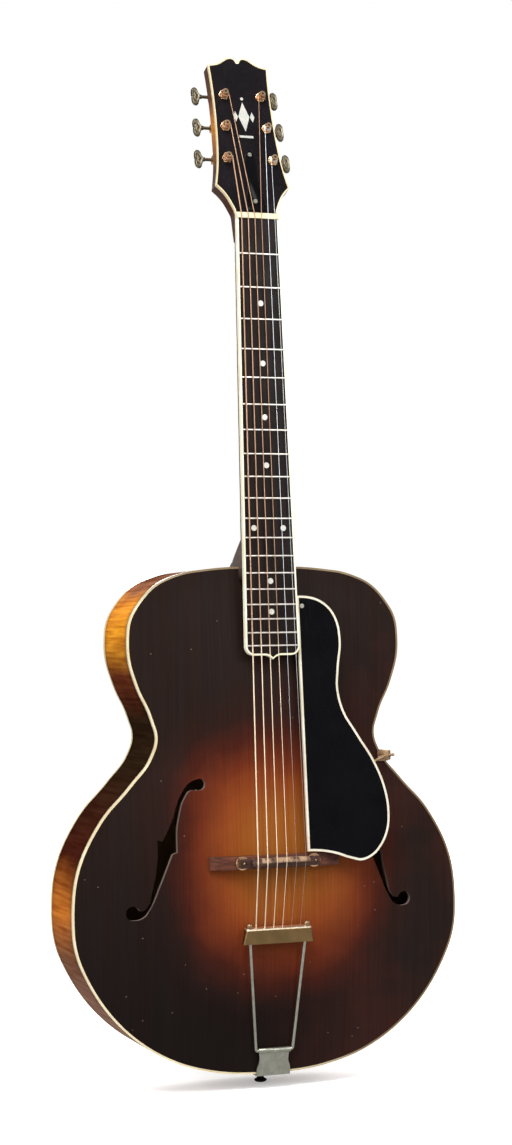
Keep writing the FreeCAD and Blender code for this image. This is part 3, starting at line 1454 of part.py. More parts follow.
# Clamp on the rim's edge, with the rod that carries the pickguard
clamp_place = nut_z - (guard_top_from_nut + guard_length * clamp_place_share) * pitch_cosine
clamp_x = half_width(clamp_place)
clamp_z = (clamp_place - clamp_width / 2, clamp_place + clamp_width / 2)
clamp_outer = max(half_width(clamp_z[0]), half_width(clamp_z[1])) + clamp_gap
clamp_front = front_y - clamp_gap
clamp_far = clamp_outer + clamp_sheet
clamp_top = clamp_front - clamp_sheet
clamp_lip_part = box((clamp_x - clamp_lip, clamp_far), (clamp_top, clamp_front), clamp_z)
clamp_side_part = box((clamp_outer, clamp_far), (clamp_top, front_y + clamp_drop), clamp_z)
clamp_stud_y = front_y + clamp_drop / 2
stud_start = vec(clamp_outer + clamp_sheet / 2, clamp_stud_y, clamp_place)
stud_end = vec(clamp_outer + clamp_sheet + clamp_stud_length, clamp_stud_y, clamp_place)
rod_y = front_y - clamp_rod_height
post_top = vec(clamp_x, rod_y, clamp_place)
clamp_post = rod(vec(clamp_x, clamp_front, clamp_place), vec(clamp_x, rod_y - clamp_rod_radius, clamp_place),
                 clamp_rod_radius * 1.5)
clamp_body = joined(clamp_lip_part, clamp_side_part, clamp_post).cut(body_envelope)
pickguard_clamp = joined(clamp_body, rod(stud_start, stud_end, clamp_stud_radius))

rod_inner = vec(clamp_x - clamp_rod_inside, rod_y, clamp_place - clamp_rod_inside / 3)
rod_local = neck_frame.inverse().multVec(rod_inner)
rod_end = neck_frame.multVec(vec(rod_local.x, guard_depths[1] + clamp_rod_radius * 1.5, rod_local.z))
pickguard_rod = rod(post_top, rod_end, clamp_rod_radius)
rod_foot = placed(neck_frame, box((rod_local.x - rod_foot_length / 2, rod_local.x + rod_foot_length / 2),
                                  (guard_depths[1], guard_depths[1] + clamp_rod_radius * 1.5),
                                  (rod_local.z - rod_foot_width / 2, rod_local.z + rod_foot_width / 2)))
pickguard_rod = joined(pickguard_rod, rod_foot, Part.makeSphere(clamp_rod_radius, rod_end))
guard_zone = placed(neck_frame, box((-guard_width, 3 * guard_width), (-rim_depth, guard_depths[1]),
                                    (-2 * scale_length, 0)))
pickguard_rod = pickguard_rod.cut(guard_zone).cut(pickguard_clamp)


def thumb_nut():
    """Lobed thumb nut on the clamp's stud."""
    start = stud_start + X_AXIS * (clamp_sheet / 2 + clamp_nut_gap)
    end = start + X_AXIS * clamp_nut_length
    nut_solid = rod(start, end, clamp_nut_radius)
    lobes = []
    for lobe in range(clamp_nut_lobes):
        angle = 2 * math.pi * lobe / clamp_nut_lobes
        offset = vec(0, clamp_nut_radius * math.cos(angle), clamp_nut_radius * math.sin(angle))
        lobes.append(rod(start + offset, end + offset, clamp_nut_lobe_radius))
    nut_solid = nut_solid.fuse(lobes)
    bore = rod(start - X_AXIS * overrun, end + X_AXIS * overrun, clamp_stud_radius + running_clearance)
    return nut_solid.cut(bore)


clamp_thumb_nut = thumb_nut()

# Pickguard screw into the neck's riser
guard_screw_local = guard_place(guard_screw_shares)
guard_screw_top = neck_frame.multVec(vec(guard_screw_local.x, guard_below_frets, guard_screw_local.z))
neck_drive = direction(neck_frame, Y_AXIS)
guard_screw = screw(guard_screw_top, neck_drive, guard_screw_length)
pickguard = pickguard.cut(screw_hole(guard_screw_top, neck_drive, guard_screw_length))

# Files, one for each piece or group of like pieces
parts = {
    "top_plate": [top_plate], "back_plate": [back_plate], "rim_bass": [rim_bass], "rim_treble": [rim_treble],
    "neck_block": [neck_block], "tail_block": [tail_block], "linings": linings, "tone_bars": tone_bars,
    "top_binding": [top_binding], "back_binding": [back_binding], "neck": [neck], "heel_cap": [heel_cap],
    "truss_rod": [truss_rod], "truss_rod_nut": [truss_rod_nut], "truss_rod_cover": [truss_rod_cover],
    "wood_screws": wood_screws, "fingerboard": [fingerboard], "fingerboard_binding": [fingerboard_binding],
    "frets": [placed(neck_frame, solid) for solid in frets],
    "fret_markers": [placed(neck_frame, solid) for solid in dots], "nut": [nut],
    "headstock_veneer": [headstock_veneer], "headstock_binding": [headstock_binding],
    "headstock_inlay": inlays,
    "tuner_plates": tuner_plates, "tuner_bushings": tuner_bushings, "bridge_base": [bridge_base],
    "bridge_studs": bridge_studs, "thumbwheel_bass": [thumbwheels[0]], "thumbwheel_treble": [thumbwheels[1]],
    "bridge_saddle": [bridge_saddle], "tailpiece_crossbar": [crossbar], "tailpiece_wire": [tail_wire],
    "tailpiece_nuts": tail_nuts, "hinge_bracket": [hinge_bracket], "end_pin": [end_pin],
    "pickguard": [pickguard], "pickguard_binding": [pickguard_binding], "pickguard_rod": [pickguard_rod],
    "pickguard_clamp": [pickguard_clamp], "clamp_thumb_nut": [clamp_thumb_nut],
    "pickguard_screw": [guard_screw],
}
for index in range(string_count):
    side_step = index if index < posts_per_side else string_count - 1 - index + posts_per_side
    parts["tuner_post_%d" % (index + 1)] = tuner_posts[side_step]
    parts["tuner_button_%d" % (index + 1)] = [tuner_buttons[side_step]]
    parts["string_%d" % (index + 1)] = [strings[index]]

os.makedirs("parts", exist_ok=True)
for name, shapes in parts.items():
    solids = [solid for shape in shapes for solid in shape.Solids]
    whole = solids[0] if len(solids) == 1 else Part.makeCompound(solids)
    whole.exportStep("parts/%s.step" % name)
    state = "valid" if whole.isValid() else "not valid"
    print(name, len(solids), "solids", round(whole.Volume, 1), "mm3", state)
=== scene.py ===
"""Looks of an archtop guitar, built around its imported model. Lengths are in metres."""

import json
import math
import bpy
import bmesh
import numpy as np
from mathutils import Matrix, Vector

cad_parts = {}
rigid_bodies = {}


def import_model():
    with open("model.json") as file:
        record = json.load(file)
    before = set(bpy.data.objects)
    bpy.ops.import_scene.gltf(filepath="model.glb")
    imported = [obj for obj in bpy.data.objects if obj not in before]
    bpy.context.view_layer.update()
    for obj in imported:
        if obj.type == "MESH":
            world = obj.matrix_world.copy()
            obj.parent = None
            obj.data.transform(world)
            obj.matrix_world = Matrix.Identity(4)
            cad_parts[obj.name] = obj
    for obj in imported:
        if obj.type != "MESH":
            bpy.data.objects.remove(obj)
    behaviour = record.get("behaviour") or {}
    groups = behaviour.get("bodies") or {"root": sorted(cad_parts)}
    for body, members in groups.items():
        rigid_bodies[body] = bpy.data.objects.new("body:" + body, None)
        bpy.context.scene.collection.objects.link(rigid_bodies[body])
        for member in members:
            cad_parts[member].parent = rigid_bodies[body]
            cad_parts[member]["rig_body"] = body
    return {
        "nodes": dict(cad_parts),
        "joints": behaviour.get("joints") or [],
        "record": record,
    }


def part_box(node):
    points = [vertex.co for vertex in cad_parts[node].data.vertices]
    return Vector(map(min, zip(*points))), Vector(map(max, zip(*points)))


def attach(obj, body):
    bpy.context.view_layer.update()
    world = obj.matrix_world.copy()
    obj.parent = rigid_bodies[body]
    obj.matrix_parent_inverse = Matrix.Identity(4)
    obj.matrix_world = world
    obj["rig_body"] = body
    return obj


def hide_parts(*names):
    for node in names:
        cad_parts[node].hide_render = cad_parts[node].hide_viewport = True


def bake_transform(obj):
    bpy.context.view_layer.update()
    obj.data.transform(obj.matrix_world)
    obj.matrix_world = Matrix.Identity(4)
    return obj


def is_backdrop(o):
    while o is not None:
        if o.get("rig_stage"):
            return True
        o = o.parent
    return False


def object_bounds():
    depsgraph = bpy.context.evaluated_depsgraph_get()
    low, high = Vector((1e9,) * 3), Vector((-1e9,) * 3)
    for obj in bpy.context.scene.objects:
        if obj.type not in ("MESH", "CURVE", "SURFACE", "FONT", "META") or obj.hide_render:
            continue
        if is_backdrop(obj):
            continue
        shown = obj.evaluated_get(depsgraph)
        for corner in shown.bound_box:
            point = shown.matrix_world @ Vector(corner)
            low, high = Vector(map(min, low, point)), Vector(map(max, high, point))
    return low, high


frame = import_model()
nodes = frame["nodes"]
cad_low, cad_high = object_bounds()
joints = {joint["name"]: joint for joint in frame["joints"]}

MM = 0.001

# Camera of the photograph: place, three turns in degrees, and focal length in mm on a square sensor
CAMERA_PLACE = (-0.7537, -2.1406, 0.4274)
CAMERA_YAW = 19.50
CAMERA_PITCH = -1.84
CAMERA_ROLL = -0.96
CAMERA_LENS = 70.05
SENSOR = 36.0
CAMERA_FAR = 100.0

# Stage: height and rings of the floor, strength of the sky's light, and for each lamp its name, its place,
# the point that it faces, its width and its power in watts
FLOOR_HEIGHT = -0.0155
FLOOR_RADII = np.array([0.0001, 0.5, 1.0, 2.0, 5.0, 60.0])
FLOOR_SIDES = 96
SKY_LIGHT = 0.24
LAMPS = [
    ("key", (-1.0, -1.8, 3.0), (0, 0, 0.4), 1.6, 102),
    ("left", (-2.6, -1.1, 1.1), (0, 0, 0.4), 1.4, 46),
    ("front", (1.0, -2.45, 1.66), (0, 0, 0.3), 1.1, 21),
    ("right", (2.6, -0.9, 1.4), (0, 0, 0.4), 1.6, 30),
    ("rear", (1.0, 2.8, 2.0), (0, 0, 0.5), 1.8, 90),
]

# Body and neck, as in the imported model
FRONT_Y = -36 * MM
BACK_Y = 50 * MM
BODY_LENGTH = 505 * MM
SCALE_LENGTH = 647.7 * MM
JOINT_FRET = 14
JOINT_FRET_BELOW_EDGE = 7 * MM
BOARD_HEIGHT_AT_JOINT = 18.8 * MM
NECK_PITCH = 3.1
HEAD_ANGLE = 14.0
HEAD_FACE_DROP = 2.5 * MM

# Strings, from the treble side to the bass side
STRING_DIAMETERS = np.array([0.33, 0.43, 0.66, 0.91, 1.17, 1.42]) * MM
STRING_COUNT = len(STRING_DIAMETERS)
TREBLE_POSTS = 3
PLAIN_STRINGS = 2
NUT_STRING_SPACING = 7.1 * MM
BRIDGE_STRING_SPACING = 10.0 * MM
TAIL_STRING_SPACING = 9.3 * MM
STRING_HEIGHT_AT_NUT = 1.8 * MM
STRING_HEIGHT_AT_BRIDGE = 5.0 * MM
NUT_THICKNESS = 5.8 * MM
BRIDGE_SHIFT = 2.1 * MM
SADDLE_COMPENSATION = np.array([1.0, -0.8, 0.6, -0.2, -0.9, -1.6]) * MM
WINDING_TURNS = [4, 4, 3, 3, 2, 2]
WINDING_START_HEIGHT = 7.4 * MM
WINDING_GAP = 0.5 * MM
POST_RADIUS = 3.0 * MM
POST_GAP = 0.3 * MM
BALL_RADIUS = 2.0 * MM
BALL_SETBACK = 0.7 * MM
BALL_OVERLAP_SHARE = 0.8
STRING_BEND = 2 * MM
STRING_SIDES = 10
STRING_CREASE = 50.0
BALL_SIDES = 20
BALL_STEPS = 13
WRAP_WIDTH = 0.28 * MM
RUN_STEPS = 12
BEND_STEPS = 7
SPEAKING_STEPS = 40
STEPS_PER_TURN = 28

# Tailpiece
HINGE_HEIGHT = 7.0 * MM
HINGE_FROM_TAIL = 24.0 * MM
CROSSBAR_REACH_SHARE = 0.6645
CROSSBAR_HEIGHT = 24.5 * MM
CROSSBAR_SHEET = 1.5 * MM
CROSSBAR_TOP_WIDTH = 68.3 * MM
CROSSBAR_BOTTOM_WIDTH = 74.0 * MM
CROSSBAR_FACE_HEIGHT = 15.5 * MM
CROSSBAR_FRONT = 4.5 * MM
CROSSBAR_BACK = 4.0 * MM
CROSSBAR_WALL_BACK = 1.5 * MM
CROSSBAR_FOLD = 3.0 * MM
CROSSBAR_INNER_FOLD_SHARE = 0.8
CROSSBAR_CORNER_CUT = 0.5 * MM
CROSSBAR_CORNER_REACH = 2.4 * MM
CROSSBAR_CREASE = 30.0
CROSSBAR_EDGE_STEPS = 16
CROSSBAR_TOP_STEPS = 40
CROSSBAR_FACE_ROWS = 9
CROSSBAR_FOLD_ROWS = 7
CROSSBAR_WALL_ROWS = 5

# Tuners: worm and shaft behind the headstock, and the button at the shaft's outer end
WORM_DEPTH = 20.4 * MM
WORM_OFFSET = 9.7 * MM
GEAR_RADIUS = 6.6 * MM
GEAR_TEETH = 12
WORM_PITCH = 2 * math.pi * GEAR_RADIUS / GEAR_TEETH
WORM_TURNS = 3
WORM_CORE = 2.0 * MM
WORM_TIP = 3.8 * MM
WORM_RIDGE = (0.6 * MM, 1.4 * MM)
WORM_END = 1.0 * MM
WORM_SIDES = 32
WORM_STEP = 0.12 * MM
WORM_HALF = WORM_PITCH * WORM_TURNS / 2 + WORM_END
SHAFT_SIDES = 24
SHAFT_RADIUS = 1.7 * MM
SHAFT_INNER_REACH = 2.0 * MM
SHAFT_REACH = 12.8 * MM
SHAFT_EDGE = 0.2 * MM
COLLAR_REACH = 10.2 * MM
COLLAR_HALF = 0.8 * MM
COLLAR_RADIUS = 2.3 * MM
BUTTON_LENGTH = 9.8 * MM
BUTTON_HEIGHT = 21.2 * MM
BUTTON_THICKNESS = 6.0 * MM
BUTTON_CENTRE_SHARE = 0.56
BUTTON_RELIEF_SHARE = 0.2
BUTTON_RELIEF_WAVES = 1.15
BUTTON_CREASE = 40.0
BUTTON_SIDES = 96
BUTTON_ROWS = 33
BUTTON_OUTLINE_SHARES = [
    (0.0, 0.0), (0.0, 0.24), (0.12, 0.28), (0.22, 0.56), (0.34, 0.88), (0.52, 1.0), (0.74, 0.96),
    (0.91, 0.78), (0.985, 0.55), (0.99, 0.32), (0.93, 0.0),
]

# Dark disc of painted shade that stands for the well in a post's tip: height above the tip and radius
WELL_SHADE_SIDES = 24
WELL_SHADE_PROFILE = np.array([(-0.05, 0.001), (-0.05, 1.2), (0.03, 1.2), (0.05, 1.1), (0.05, 0.001)]) * MM

# Bridge
STUD_RADIUS = 2.0 * MM
STUD_THREAD_PITCH = 0.7 * MM
STUD_THREAD_DEPTH = 0.35 * MM
STUD_RIDGE = (0.12 * MM, 0.62 * MM)
STUD_PLAIN_TIP = 0.4 * MM
STUD_SIDES = 24
STUD_STEP = 0.08 * MM
WHEEL_RADIUS = 7.0 * MM
WHEEL_BORE = 2.04 * MM
WHEEL_EDGE = 0.45 * MM
WHEEL_KNURLS = 36
WHEEL_STEPS_PER_KNURL = 6
WHEEL_CREASE = 40.0
WHEEL_GROOVE = 0.4 * MM
WHEEL_RIM_SHARE = 0.97

# End pin: place along its axis and radius
PIN_SIDES = 48
PIN_CREASE = 60.0
PIN_PROFILE = np.array([
    (22.0, 0.001), (22.0, 2.6), (21.4, 3.0), (0.0, 3.0), (-5.0, 2.9), (-8.6, 3.0), (-10.4, 3.7), (-11.4, 5.0),
    (-12.1, 6.1), (-12.8, 6.5), (-13.5, 6.3), (-14.3, 5.2), (-14.9, 3.4), (-15.2, 1.2), (-15.2, 0.001),
]) * MM

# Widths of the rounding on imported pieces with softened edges
SOFT_EDGES = {
    "bridge_base": 0.5 * MM, "hinge_bracket": 0.35 * MM, "tuner_bushings": 0.3 * MM, "tuner_plates": 0.2 * MM,
    "truss_rod_cover": 0.35 * MM, "heel_cap": 0.3 * MM, "pickguard_clamp": 0.4 * MM,
}

# Sunbursts: middle across and up, half width, and reach above and below the middle
TOP_BURST = (10 * MM, 216 * MM, 124 * MM, 144 * MM, 144 * MM)
BACK_BURST = (0.0, 225 * MM, 150 * MM, 215 * MM, 190 * MM)

# Finishes: where a colour starts and where it is whole, as heights, as places across or as depths,
# then half the width of the back's seam, and how deep fine and soft relief look
DARK_TAIL_HEIGHTS = (60 * MM, 300 * MM)
DARK_TAIL_ACROSS = (-50 * MM, 120 * MM)
RED_CLOUD_ACROSS = (-20 * MM, 100 * MM)
RIM_EDGE_DEPTHS = (28 * MM, 43 * MM)
# Where the top binding's painted shade starts and is whole, across and as heights
SHADED_BINDING_ACROSS = (0.0, 100 * MM)
SHADED_BINDING_HEIGHTS = (470 * MM, 500 * MM)
BINDING_FOOT_DEPTHS = (FRONT_Y + 2.8 * MM, FRONT_Y + 3.4 * MM)
SADDLE_CREST_RISE = (-0.2 * MM, 1.0 * MM)
SADDLE_POSTS_ACROSS = (28 * MM, 31 * MM)
PLAYED_WOUND_HEIGHTS = (410 * MM, 450 * MM)
RUBBED_PLAIN_HEIGHTS = (280 * MM, 440 * MM)
BACK_SEAM_HALF = 0.4 * MM
FINE_RELIEF = 0.1 * MM
SOFT_RELIEF = 0.3 * MM

# Meshes: angles in degrees under which packed faces shade as one, are made one flat face, or get no rounding,
# the steps of that rounding, the distances within which points are merged, the grid on which corners count as
# one place, the least length to divide by, and the radius at a turned piece's ends
SMOOTH_ANGLE = 32.0
FLAT_ANGLE = 0.8
BEVEL_ANGLE = 38.0
BEVEL_SEGMENTS = 2
MERGE_DISTANCE = 1e-6
NODE_MERGE_DISTANCE = 2e-6
PLACES_PER_METRE = 2e5
TINY = 1e-18
END_RADIUS = 1e-6


def direction(vector):
    """A vector divided by its length."""
    vector = np.asarray(vector, float)
    return vector / np.linalg.norm(vector)


def turn_about(axis, degrees):
    """Matrix of a turn about the X, Y or Z axis, which is given as 0, 1 or 2."""
    first = (axis + 1) % 3
    second = (axis + 2) % 3
    matrix = np.eye(3)
    matrix[first, first] = math.cos(math.radians(degrees))
    matrix[second, second] = matrix[first, first]
    matrix[second, first] = math.sin(math.radians(degrees))
    matrix[first, second] = -matrix[second, first]
    return matrix


class Place:
    """A frame on the guitar: an origin and a turn, which carries local points into the guitar's frame."""

    def __init__(self, origin, turn):
        self.origin = np.asarray(origin, float)
        self.turn = turn

    def point(self, local):
        """Guitar point of a local point or a row of them: the turned point plus the origin."""
        return np.asarray(local, float) @ self.turn.T + self.origin

    def local(self, point):
        """Local point of a guitar point: the point less the origin, turned back."""
        return (np.asarray(point, float) - self.origin) @ self.turn


# The neck's frame starts at the nut on the fret plane, the head's on the headstock's face below it,
# and the tail's on the hinge of the tailpiece. In each, local Z runs along the piece and -Y is the front.
joint_distance = SCALE_LENGTH * (1 - 2 ** (-JOINT_FRET / 12))
pitch_sine = math.sin(math.radians(NECK_PITCH))
pitch_cosine = math.cos(math.radians(NECK_PITCH))
nut_y = FRONT_Y - BOARD_HEIGHT_AT_JOINT + joint_distance * pitch_sine
nut_z = BODY_LENGTH - JOINT_FRET_BELOW_EDGE + joint_distance * pitch_cosine
neck_place = Place((0, nut_y, nut_z), turn_about(0, -NECK_PITCH))
head_place = Place(neck_place.point((0, HEAD_FACE_DROP, 0)), turn_about(0, -NECK_PITCH - HEAD_ANGLE))
bridge_distance = SCALE_LENGTH - BRIDGE_SHIFT
bridge_z = neck_place.point((0, -STRING_HEIGHT_AT_BRIDGE, -bridge_distance))[2]
crossbar_reach = (bridge_z - HINGE_FROM_TAIL) * CROSSBAR_REACH_SHARE
tail_tilt = math.degrees(math.atan2(CROSSBAR_HEIGHT - HINGE_HEIGHT, crossbar_reach))
tail_place = Place((0, FRONT_Y - HINGE_HEIGHT, HINGE_FROM_TAIL), turn_about(0, tail_tilt))


# Meshes

def smooth_faces(mesh):
    """Shade all faces of a mesh as one rounded surface."""
    mesh.polygons.foreach_set("use_smooth", np.full(len(mesh.polygons), True))
    mesh.update()


def mesh_object(name, points, faces):
    """A mesh object at the origin from a row of points and a list of faces."""
    mesh = bpy.data.meshes.new(name)
    mesh.from_pydata(points.reshape(-1, 3).tolist(), [], faces)
    smooth_faces(mesh)
    piece = bpy.data.objects.new(name, mesh)
    bpy.context.scene.collection.objects.link(piece)
    return piece


def grid_faces(rows, columns, close_rows=False, close_columns=False):
    """Quads of a grid of points, row by row, joined to the start again where a direction is closed."""
    row = np.arange(rows if close_rows else rows - 1)
    column = np.arange(columns if close_columns else columns - 1)
    here, beside = np.meshgrid(row, column, indexing="ij")
    above = (here + 1) % rows
    right = (beside + 1) % columns
    corners = [(here, beside), (here, right), (above, right), (above, beside)]
    return np.stack([line * columns + place for line, place in corners], -1).reshape(-1, 4).tolist()


def cap_faces(rows, columns):
    """The two flat ends of a grid whose columns close round: one face for each end row."""
    start = list(range(columns - 1, -1, -1))
    end = list(range((rows - 1) * columns, rows * columns))
    return [start, end]


def outward(piece):
    """Merge a piece's doubles and turn its faces outwards."""
    shape = bmesh.new()
    shape.from_mesh(piece.data)
    bmesh.ops.remove_doubles(shape, verts=shape.verts, dist=MERGE_DISTANCE)
    bmesh.ops.recalc_face_normals(shape, faces=shape.faces)
    shape.to_mesh(piece.data)
    shape.free()
    smooth_faces(piece.data)
    return piece


def crease(piece, degrees):
    """Keep edges sharper than an angle as creases of the shading."""
    shape = bmesh.new()
    shape.from_mesh(piece.data)
    limit = math.radians(degrees)
    for edge in shape.edges:
        edge.smooth = len(edge.link_faces) != 2 or edge.calc_face_angle(0) < limit
    shape.to_mesh(piece.data)
    shape.free()
    return piece


def joined_pieces(name, pieces):
    """One object from several."""
    shape = bmesh.new()
    for piece in pieces:
        shape.from_mesh(piece.data)
        bpy.data.objects.remove(piece)
    mesh = bpy.data.meshes.new(name)
    shape.to_mesh(mesh)
    shape.free()
    whole = bpy.data.objects.new(name, mesh)
    bpy.context.scene.collection.objects.link(whole)
    return whole


def tube(name, path, radius, sides, reference):
    """A round wire: at each point of the path, a circle of the radius in the plane across the path.

    The circle's first axis is the path's direction crossed with the reference, its second axis the first
    crossed with the path's direction. The first and last circles are closed flat.
    """
    path = np.asarray(path, float)
    along = np.gradient(path, axis=0)
    along /= np.linalg.norm(along, axis=1, keepdims=True)
    side = np.cross(along, reference)
    side /= np.linalg.norm(side, axis=1, keepdims=True)
    rise = np.cross(side, along)
    angle = np.linspace(0, 2 * np.pi, sides, endpoint=False)
    ring = side[:, None] * np.cos(angle)[None, :, None] + rise[:, None] * np.sin(angle)[None, :, None]
    points = path[:, None] + ring * np.broadcast_to(radius, len(path))[:, None, None]
    faces = grid_faces(len(path), sides, close_columns=True) + cap_faces(len(path), sides)
    return outward(mesh_object(name, points, faces))


def lathe(name, origin, axis, profile, sides, wobble=None, closed=False):
    """A turned piece: each profile pair is a place along the axis and a radius, carried round the axis.

    The wobble, where given, is a function of the angle and the radius that gives the new radius. A closed
    profile is a ring's section and joins its start again.
    """
    axis = direction(axis)
    first = direction(np.cross(axis, (0.0, 0.0, 1.0) if abs(axis[2]) < 0.9 else (0.0, 1.0, 0.0)))
    second = np.cross(axis, first)
    profile = np.asarray(profile, float)
    angle = np.linspace(0, 2 * np.pi, sides, endpoint=False)
    radius = np.broadcast_to(profile[:, 1:2], (len(profile), sides))
    if wobble is not None:
        radius = wobble(angle[None, :], radius)
    spoke = first * np.cos(angle)[:, None] + second * np.sin(angle)[:, None]
    points = np.asarray(origin, float) + axis * profile[:, 0][:, None, None] + spoke[None] * radius[..., None]
    faces = grid_faces(len(profile), sides, close_rows=closed, close_columns=True)
    if not closed:
        faces += cap_faces(len(profile), sides)
    return outward(mesh_object(name, points, faces))


def threaded_rod(name, origin, axis, zero, span, core, tip, pitch, thread, widths, sides, step):
    """A rod with a thread: a radius for each place along the axis and each angle round it.

    The ridge runs round with the right-hand rule, one pitch a turn, from the zero direction at the thread's
    start. Within half the first width of the ridge's middle the radius is the tip's, beyond half the second
    it is the core's, and it falls evenly between them.
    """
    axis = direction(axis)
    zero = direction(zero)
    across = np.cross(axis, zero)
    angle = np.linspace(0, 2 * np.pi, sides, endpoint=False)
    along = np.linspace(span[0], span[1], int((span[1] - span[0]) / step) + 1)
    turns = (along[:, None] - thread[0]) / pitch - angle[None, :] / (2 * np.pi)
    ridge = np.round(turns)
    gap = np.abs(turns - ridge) * pitch
    middle = along[:, None] - (turns - ridge) * pitch
    rise = np.clip((widths[1] / 2 - gap) / ((widths[1] - widths[0]) / 2), 0, 1)
    rise = rise * ((middle > thread[0] - MERGE_DISTANCE) & (middle < thread[1] + MERGE_DISTANCE))
    radius = core + (tip - core) * rise
    spoke = zero * np.cos(angle)[:, None] + across * np.sin(angle)[:, None]
    points = np.asarray(origin, float) + axis * along[:, None, None] + spoke[None] * radius[..., None]
    faces = grid_faces(len(along), sides, close_columns=True) + cap_faces(len(along), sides)
    return outward(mesh_object(name, points, faces))


def softened(node, width):
    """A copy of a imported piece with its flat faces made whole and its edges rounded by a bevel."""
    piece = bpy.data.objects.new(node + "_soft", nodes[node].data.copy())
    piece.data.materials.clear()
    bpy.context.scene.collection.objects.link(piece)
    shape = bmesh.new()
    shape.from_mesh(piece.data)
    bmesh.ops.remove_doubles(shape, verts=shape.verts, dist=NODE_MERGE_DISTANCE)
    flat = math.radians(FLAT_ANGLE)
    bmesh.ops.dissolve_limit(shape, angle_limit=flat, verts=shape.verts, edges=shape.edges)
    shape.to_mesh(piece.data)
    shape.free()
    smooth_faces(piece.data)
    bevel = piece.modifiers.new("rounding", "BEVEL")
    bevel.width = width
    bevel.segments = BEVEL_SEGMENTS
    bevel.limit_method = "ANGLE"
    bevel.angle_limit = math.radians(BEVEL_ANGLE)
    bevel.harden_normals = True
    bevel.use_clamp_overlap = True
    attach(piece, nodes[node]["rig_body"])
    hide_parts(node)
    return piece


def shade_smoothly(piece):
    """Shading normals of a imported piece: at each corner, the mean of faces that meet there at a small angle.

    The faces that share a place are paired with each other. A pair counts where the angle between the two
    faces is under the limit, with the second face's area as its weight. No point of the mesh moves.
    """
    mesh = piece.data
    count = len(mesh.loops)
    corner_point = np.empty(count, np.int32)
    mesh.loops.foreach_get("vertex_index", corner_point)
    place = np.empty(len(mesh.vertices) * 3, np.float32)
    mesh.vertices.foreach_get("co", place)
    place = place.reshape(-1, 3).astype(float)
    triangles = corner_point.reshape(-1, 3)
    first, second, third = (place[triangles[:, corner]] for corner in range(3))
    across = np.cross(second - first, third - first)
    size = np.linalg.norm(across, axis=1)
    flat = across / np.maximum(size, TINY)[:, None]
    keys = np.round(place * PLACES_PER_METRE).astype(np.int64)
    group = np.unique(keys, axis=0, return_inverse=True)[1].reshape(-1)[corner_point]
    order = np.argsort(group, kind="stable")
    starts = np.searchsorted(group[order], np.arange(group.max() + 2))
    face_of = np.repeat(np.arange(len(triangles)), 3)
    total = np.zeros((count, 3))
    rank = np.arange(count) - starts[group[order]]
    held = np.diff(starts)[group[order]]
    cosine = math.cos(math.radians(SMOOTH_ANGLE))
    for step in range(int(held.max())):
        able = held > step
        here = order[able]
        other = order[starts[group[here]] + (rank[able] + step) % held[able]]
        alike = np.einsum("ij,ij->i", flat[face_of[here]], flat[face_of[other]]) > cosine
        total[here[alike]] += across[face_of[other[alike]]]
    length = np.linalg.norm(total, axis=1, keepdims=True)
    normals = np.where(length > TINY, total / np.maximum(length, TINY), flat[face_of])
    mesh.polygons.foreach_set("use_smooth", np.full(len(mesh.polygons), True))
    mesh.normals_split_custom_set(normals.tolist())


# Materials: small helpers that add one node each and give its output

